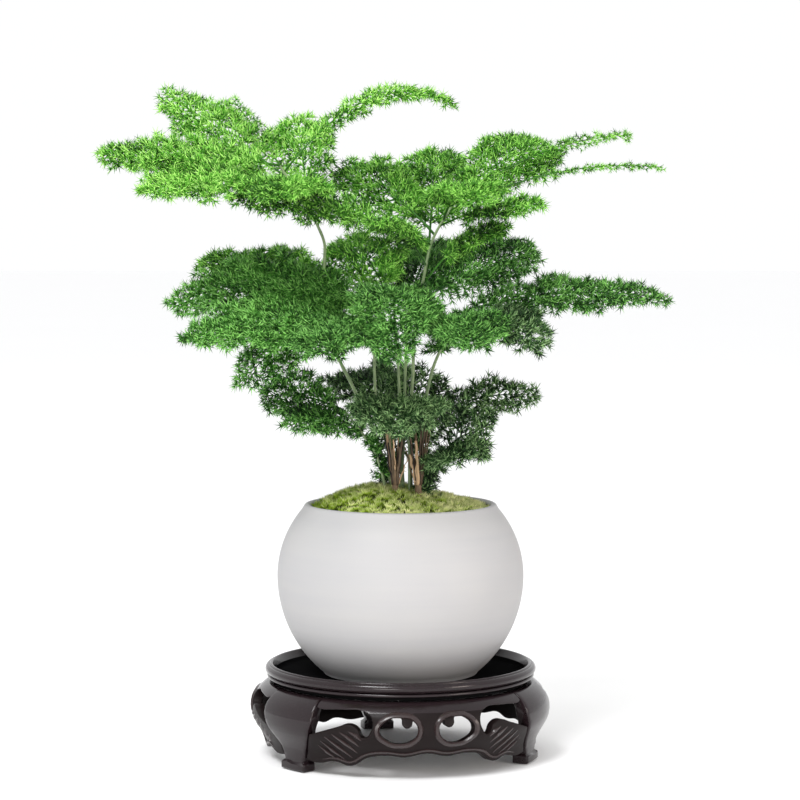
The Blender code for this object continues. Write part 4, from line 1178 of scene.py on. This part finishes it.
class Spray:
    """Grows one spray: its stalk, branches and twigs as tubes, and a list of places for tufts."""

    def __init__(self, name, seed):
        self.stalk = Stalk(name)
        self.scale = min(0.4 + self.stalk.width / 20, 1.0)
        self.depth = 0.8 if "_e_" in name else 0.4
        self.spacing = TUFT_SPACING[name[LAYER_LETTER]]
        self.draw = np.random.default_rng(seed)
        self.tubes, self.tube_tones = [], []
        self.places, self.axes, self.sizes, self.tones = [], [], [], []

    def tuft(self, place, axis, size, tone):
        self.places.append(place)
        self.axes.append(axis)
        self.sizes.append(size * self.scale)
        self.tones.append(tone)

    def twig(self, root, direction, length, tone):
        drop = self.draw.uniform(0.02, 0.1)
        end = root + direction * length - UP * length * drop
        self.tubes.append(tube([root, end], TWIG_RADII))
        self.tube_tones.append(tone)
        count = max(1, round(length / self.spacing))
        for i in range(count):
            share = (i + 0.7) / count
            place = root + direction * length * share - UP * length * drop * share**2
            size = (1.08 - 0.3 * share) * self.draw.uniform(0.7, 1.2)
            # Tufts further out on the twig get a higher tone: painted light on the outer needles.
            self.tuft(place, direction + self.draw.normal(0, 0.25, 3), size, tone + 0.12 * share)

    def branch(self, t, side, length):
        draw, stalk = self.draw, self.stalk
        along = stalk.along(t)
        across, upward = plane_of(along, stalk.lean)
        lean = BRANCH_LEAN + draw.normal(0, 0.1)
        lift = draw.uniform(-0.16, 0.2)
        direction = unit(across * side * math.cos(lean) + along * math.sin(lean) + upward * lift)
        root = stalk.at(t)
        droop = (along - UP) * BRANCH_DROOP / length
        tone = draw.uniform(0.2, 0.6)
        steps = np.linspace(0, length, max(3, round(length / BRANCH_STEP)))
        radii = np.linspace(*BRANCH_RADII, len(steps))
        self.tubes.append(tube([root + direction * s + droop * s * s for s in steps], radii))
        self.tube_tones.append(tone)
        turn = 1 if draw.random() < 0.5 else -1
        place = 1.6
        while place < length:
            heading = unit(direction + 2 * droop * place)
            spot = root + direction * place + droop * place**2
            sideways = unit(np.cross(heading, upward))
            reach = min(LONGEST_TWIG, TIP_TWIG + 0.5 * (length - place)) * draw.uniform(0.75, 1.15)
            opening = math.radians(draw.uniform(*TWIG_OPENING))
            out = sideways * turn * math.sin(opening) + heading * math.cos(opening)
            out = unit(out + upward * draw.uniform(-self.depth, self.depth))
            self.twig(spot, out, reach, tone + draw.normal(0, 0.1))
            if draw.random() < FORK_TUFT_CHANCE:
                self.tuft(spot, heading, draw.uniform(0.75, 1.0), tone)
            turn = -turn
            place += TWIG_SPACING * draw.uniform(0.8, 1.2)
        end = root + direction * length + droop * length**2
        # The branch's end tufts are lighter: painted light on the spray's edge.
        self.tuft(end - direction * 2, direction, 0.7, tone + 0.25)
        self.tuft(end, direction, 0.35, tone + 0.35)

    def grow(self):
        stalk, draw = self.stalk, self.draw
        leafy = stalk.length * (1 - stalk.bare)
        count = max(6, round(leafy / BRANCH_SPACING))
        for i in range(2 * count):
            spread = (i / 2 + 0.2 + draw.uniform(-0.15, 0.15)) / count
            t = stalk.bare + (0.985 - stalk.bare) * spread
            length = stalk.width * outline_share(spread) * draw.uniform(0.8, 1.04)
            self.branch(t, 1 if i % 2 else -1, max(length, 4))
        steps = np.linspace(0, 1, 15)
        thick = WIDE_STALK if stalk.width > WIDE_SPRAY else NARROW_STALK
        self.tubes.append(tube([stalk.at(t) for t in steps], np.linspace(thick, STALK_END, 15), 5))
        self.tube_tones.append(0.0)
        for share in np.arange(stalk.bare + 0.04, 1.0, 3.4 / stalk.length):
            self.tuft(stalk.at(share), stalk.along(share), draw.uniform(0.8, 1.05), 0.4)
        # The tuft at the stalk's tip is lighter: painted light on the spray's edge.
        self.tuft(stalk.tip, stalk.along(1), 0.6, 0.8)

    def clothe(self, cane, first, last, count, reach):
        """Short shoots that stand straight on a cane, between two shares of its length."""
        route = cane_route(cane, 2)
        for share in np.linspace(first, last, count):
            root = along_path(route, share)
            turn = self.draw.uniform(0, math.tau)
            out = unit(np.array((math.cos(turn), math.sin(turn), self.draw.uniform(-0.2, 0.6))))
            self.twig(root, out, self.draw.uniform(3, reach), self.draw.uniform(0.1, 0.5))

    def arrays(self, shade):
        """Everything as one set of corners, triangles and tones, in metres."""
        count = len(self.places)
        rolls = self.draw.uniform(0, math.tau, count)
        tufts = copies(TUFT, np.array(self.places) * MM, np.array(self.axes), rolls,
                       np.array(self.sizes))
        needles = len(TUFT[0]) // NEEDLE_CORNERS
        strokes = self.draw.random((count, needles)) ** 3 * 1.45 - 0.36
        tones = ((np.array(self.tones) - shade)[:, None] + strokes).repeat(NEEDLE_CORNERS, axis=1)
        # Needle tips are made lighter and needle feet darker: painted light and painted shade within
        # each tuft.
        tip = np.linalg.norm(TUFT[0], axis=1) > NEEDLE_TIP * MM
        tones = [(tones + np.where(tip, 0.22, -0.16)).ravel()]
        tones += [np.full(len(points), tone + 0.1)
                  for (points, _), tone in zip(self.tubes, self.tube_tones)]
        corners, triangles = joined([tufts] + [(points * MM, ids) for points, ids in self.tubes])
        return corners + AXIS, triangles, np.concatenate(tones).clip(0, 1)


print("a tuft has", len(TUFT[1]), "triangles")

# %% [markdown]
# The finish of the needles reads the tone that each one was given, so single strokes of light
# green show against darker ones. The top of the plant is fresh yellow green, and the lower
# layers are darker and bluer: partly older growth, partly painted shade under the layers above,
# so the colours also follow the height.

# %% The needles' finish
def needle_finish(name, deep, middle, bright):
    green = Finish(name, Specular_IOR_Level=0.25)
    patches = sharpened(green.noise(22, 2), 0.35, 0.65)
    share = (green.tone() + patches * 0.22 - 0.1).clamp()
    body = green.mix(sharpened(share, 0.0, 0.5), deep, middle)
    green.paint(green.mix(sharpened(share, 0.45, 1.0), body, bright), 0.42 + patches * 0.14)
    return green.material


GREENS = {
    layer: needle_finish(f"needles_{name}", *colours) for layer, name, *colours in (
        ("a", "top", (0.01, 0.065, 0.004, 1), (0.11, 0.43, 0.022, 1), (0.50, 0.92, 0.20, 1)),
        ("b", "high", (0.007, 0.042, 0.003, 1), (0.07, 0.30, 0.015, 1), (0.38, 0.80, 0.14, 1)),
        ("c", "middle", (0.006, 0.038, 0.003, 1), (0.05, 0.225, 0.018, 1), (0.31, 0.70, 0.16, 1)),
        ("d", "middle_right", (0.004, 0.028, 0.003, 1), (0.034, 0.16, 0.014, 1), (0.25, 0.58, 0.13, 1)),
        ("e", "low", (0.004, 0.017, 0.004, 1), (0.026, 0.092, 0.018, 1), (0.30, 0.50, 0.20, 1)),
    )
}
print("needle finishes:", len(GREENS))

# %% [markdown]
# Inner needles of such a plant stay darker than those that see the light, because each layer
# shades what lies under it. So the tufts are looked at along the light: each is counted among those
# that share its column, and the more of them lie nearer to the light, the darker its tone.

# %% Shade of the inner tufts
LIGHT = unit(np.array((-0.35, -0.45, 0.8)))
COLUMN, SHADE_REACH, SAME_LEVEL = 5.0, 35, 1.5
PASSING_LIGHT = 0.91


def inner_shade(places):
    """From 0 for tufts in full light to about 1 for those behind many others."""
    across = unit(np.cross(LIGHT, (0, 1, 0)))
    upward = np.cross(across, LIGHT)
    cells = np.floor(np.stack((places @ across, places @ upward), axis=1) / COLUMN).astype(int)
    depth = places @ LIGHT
    order = np.lexsort((-depth, cells[:, 1], cells[:, 0]))
    shade = np.zeros(len(places))
    last, ahead = None, []
    for index in order:
        cell = tuple(cells[index])
        if cell != last:
            last, ahead = cell, []
        ahead = [d for d in ahead if d - depth[index] < SHADE_REACH]
        shade[index] = sum(1 for d in ahead if d - depth[index] > SAME_LEVEL)
        ahead.append(depth[index])
    return 1 - PASSING_LIGHT**shade


CANE_SHOOTS = {
    "frond_d_long": ("cane_dark_right", 0.8, 1.0, 60, 13),
    "frond_e_right": ("cane_dark_right", 0.22, 0.56, 50, 8),
    "frond_e_low": ("cane_low_bush", 0.3, 0.75, 60, 9),
    "frond_e_bush": ("cane_low_bush", 0.75, 1.0, 40, 12),
    "frond_e_core": ("cane_low_back", 0.3, 0.6, 40, 8),
    "frond_e_left_low": ("cane_low_left", 0.45, 0.9, 50, 7),
}
sprays = {}
for number, name in enumerate(FRONDS):
    sprays[name] = Spray(name, 100 + number)
    sprays[name].grow()
    if name in CANE_SHOOTS:
        sprays[name].clothe(*CANE_SHOOTS[name])
ends = np.cumsum([len(spray.places) for spray in sprays.values()])
every_place = np.concatenate([spray.places for spray in sprays.values()])
shades = np.split(inner_shade(every_place), ends[:-1])
print("tufts:", ends[-1], "mean shade", round(float(np.concatenate(shades).mean()), 2))

# %% Grow every spray
# Some sprays take the green of another layer, lighter or darker than their own, to match how brightly
# their place is lit: painted light and painted shade.
PAINTED_LIGHT_AND_SHADE_GREEN = {"frond_a_front": "b", "frond_c_upper": "b", "frond_c_back": "b",
               "frond_d_back_left": "b", "frond_d_right_low": "e", "frond_e_left": "d",
               "frond_e_left_low": "d"}
SHADING = {"a": 0.5, "b": 0.5, "c": 0.2, "d": 0.36, "e": 0.28}
TONE_DROP = 0.12
total, largest = 0, 0
for (name, spray), shade in zip(sprays.items(), shades):
    layer = name[LAYER_LETTER]
    arrays = spray.arrays(SHADING[layer] * shade - TONE_DROP)
    piece = mesh_object(name.replace("frond", "spray"), *arrays)
    slot = "needles_bright" if layer in "ab" else "needles_deep"
    faces = hand_over(piece, piece.name, name, slot, GREENS[PAINTED_LIGHT_AND_SHADE_GREEN.get(name, layer)])
    total += faces
    largest = max(largest, faces)
print("spray faces:", total, "largest", largest)

# %% [markdown]
# ## Closing
#
# Both boxes, of the solids and of the dressed model, are printed in millimetres. The
# dressed model has to stay the size of its solids.

# %% Print both boxes
DRESSED_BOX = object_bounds()
boxes = {"cad": [list(corner) for corner in CAD_BOX],
         "visual": [list(corner) for corner in DRESSED_BOX]}
for name, box in boxes.items():
    print(name, "box in mm:", [[round(v / MM, 1) for v in corner] for corner in box])
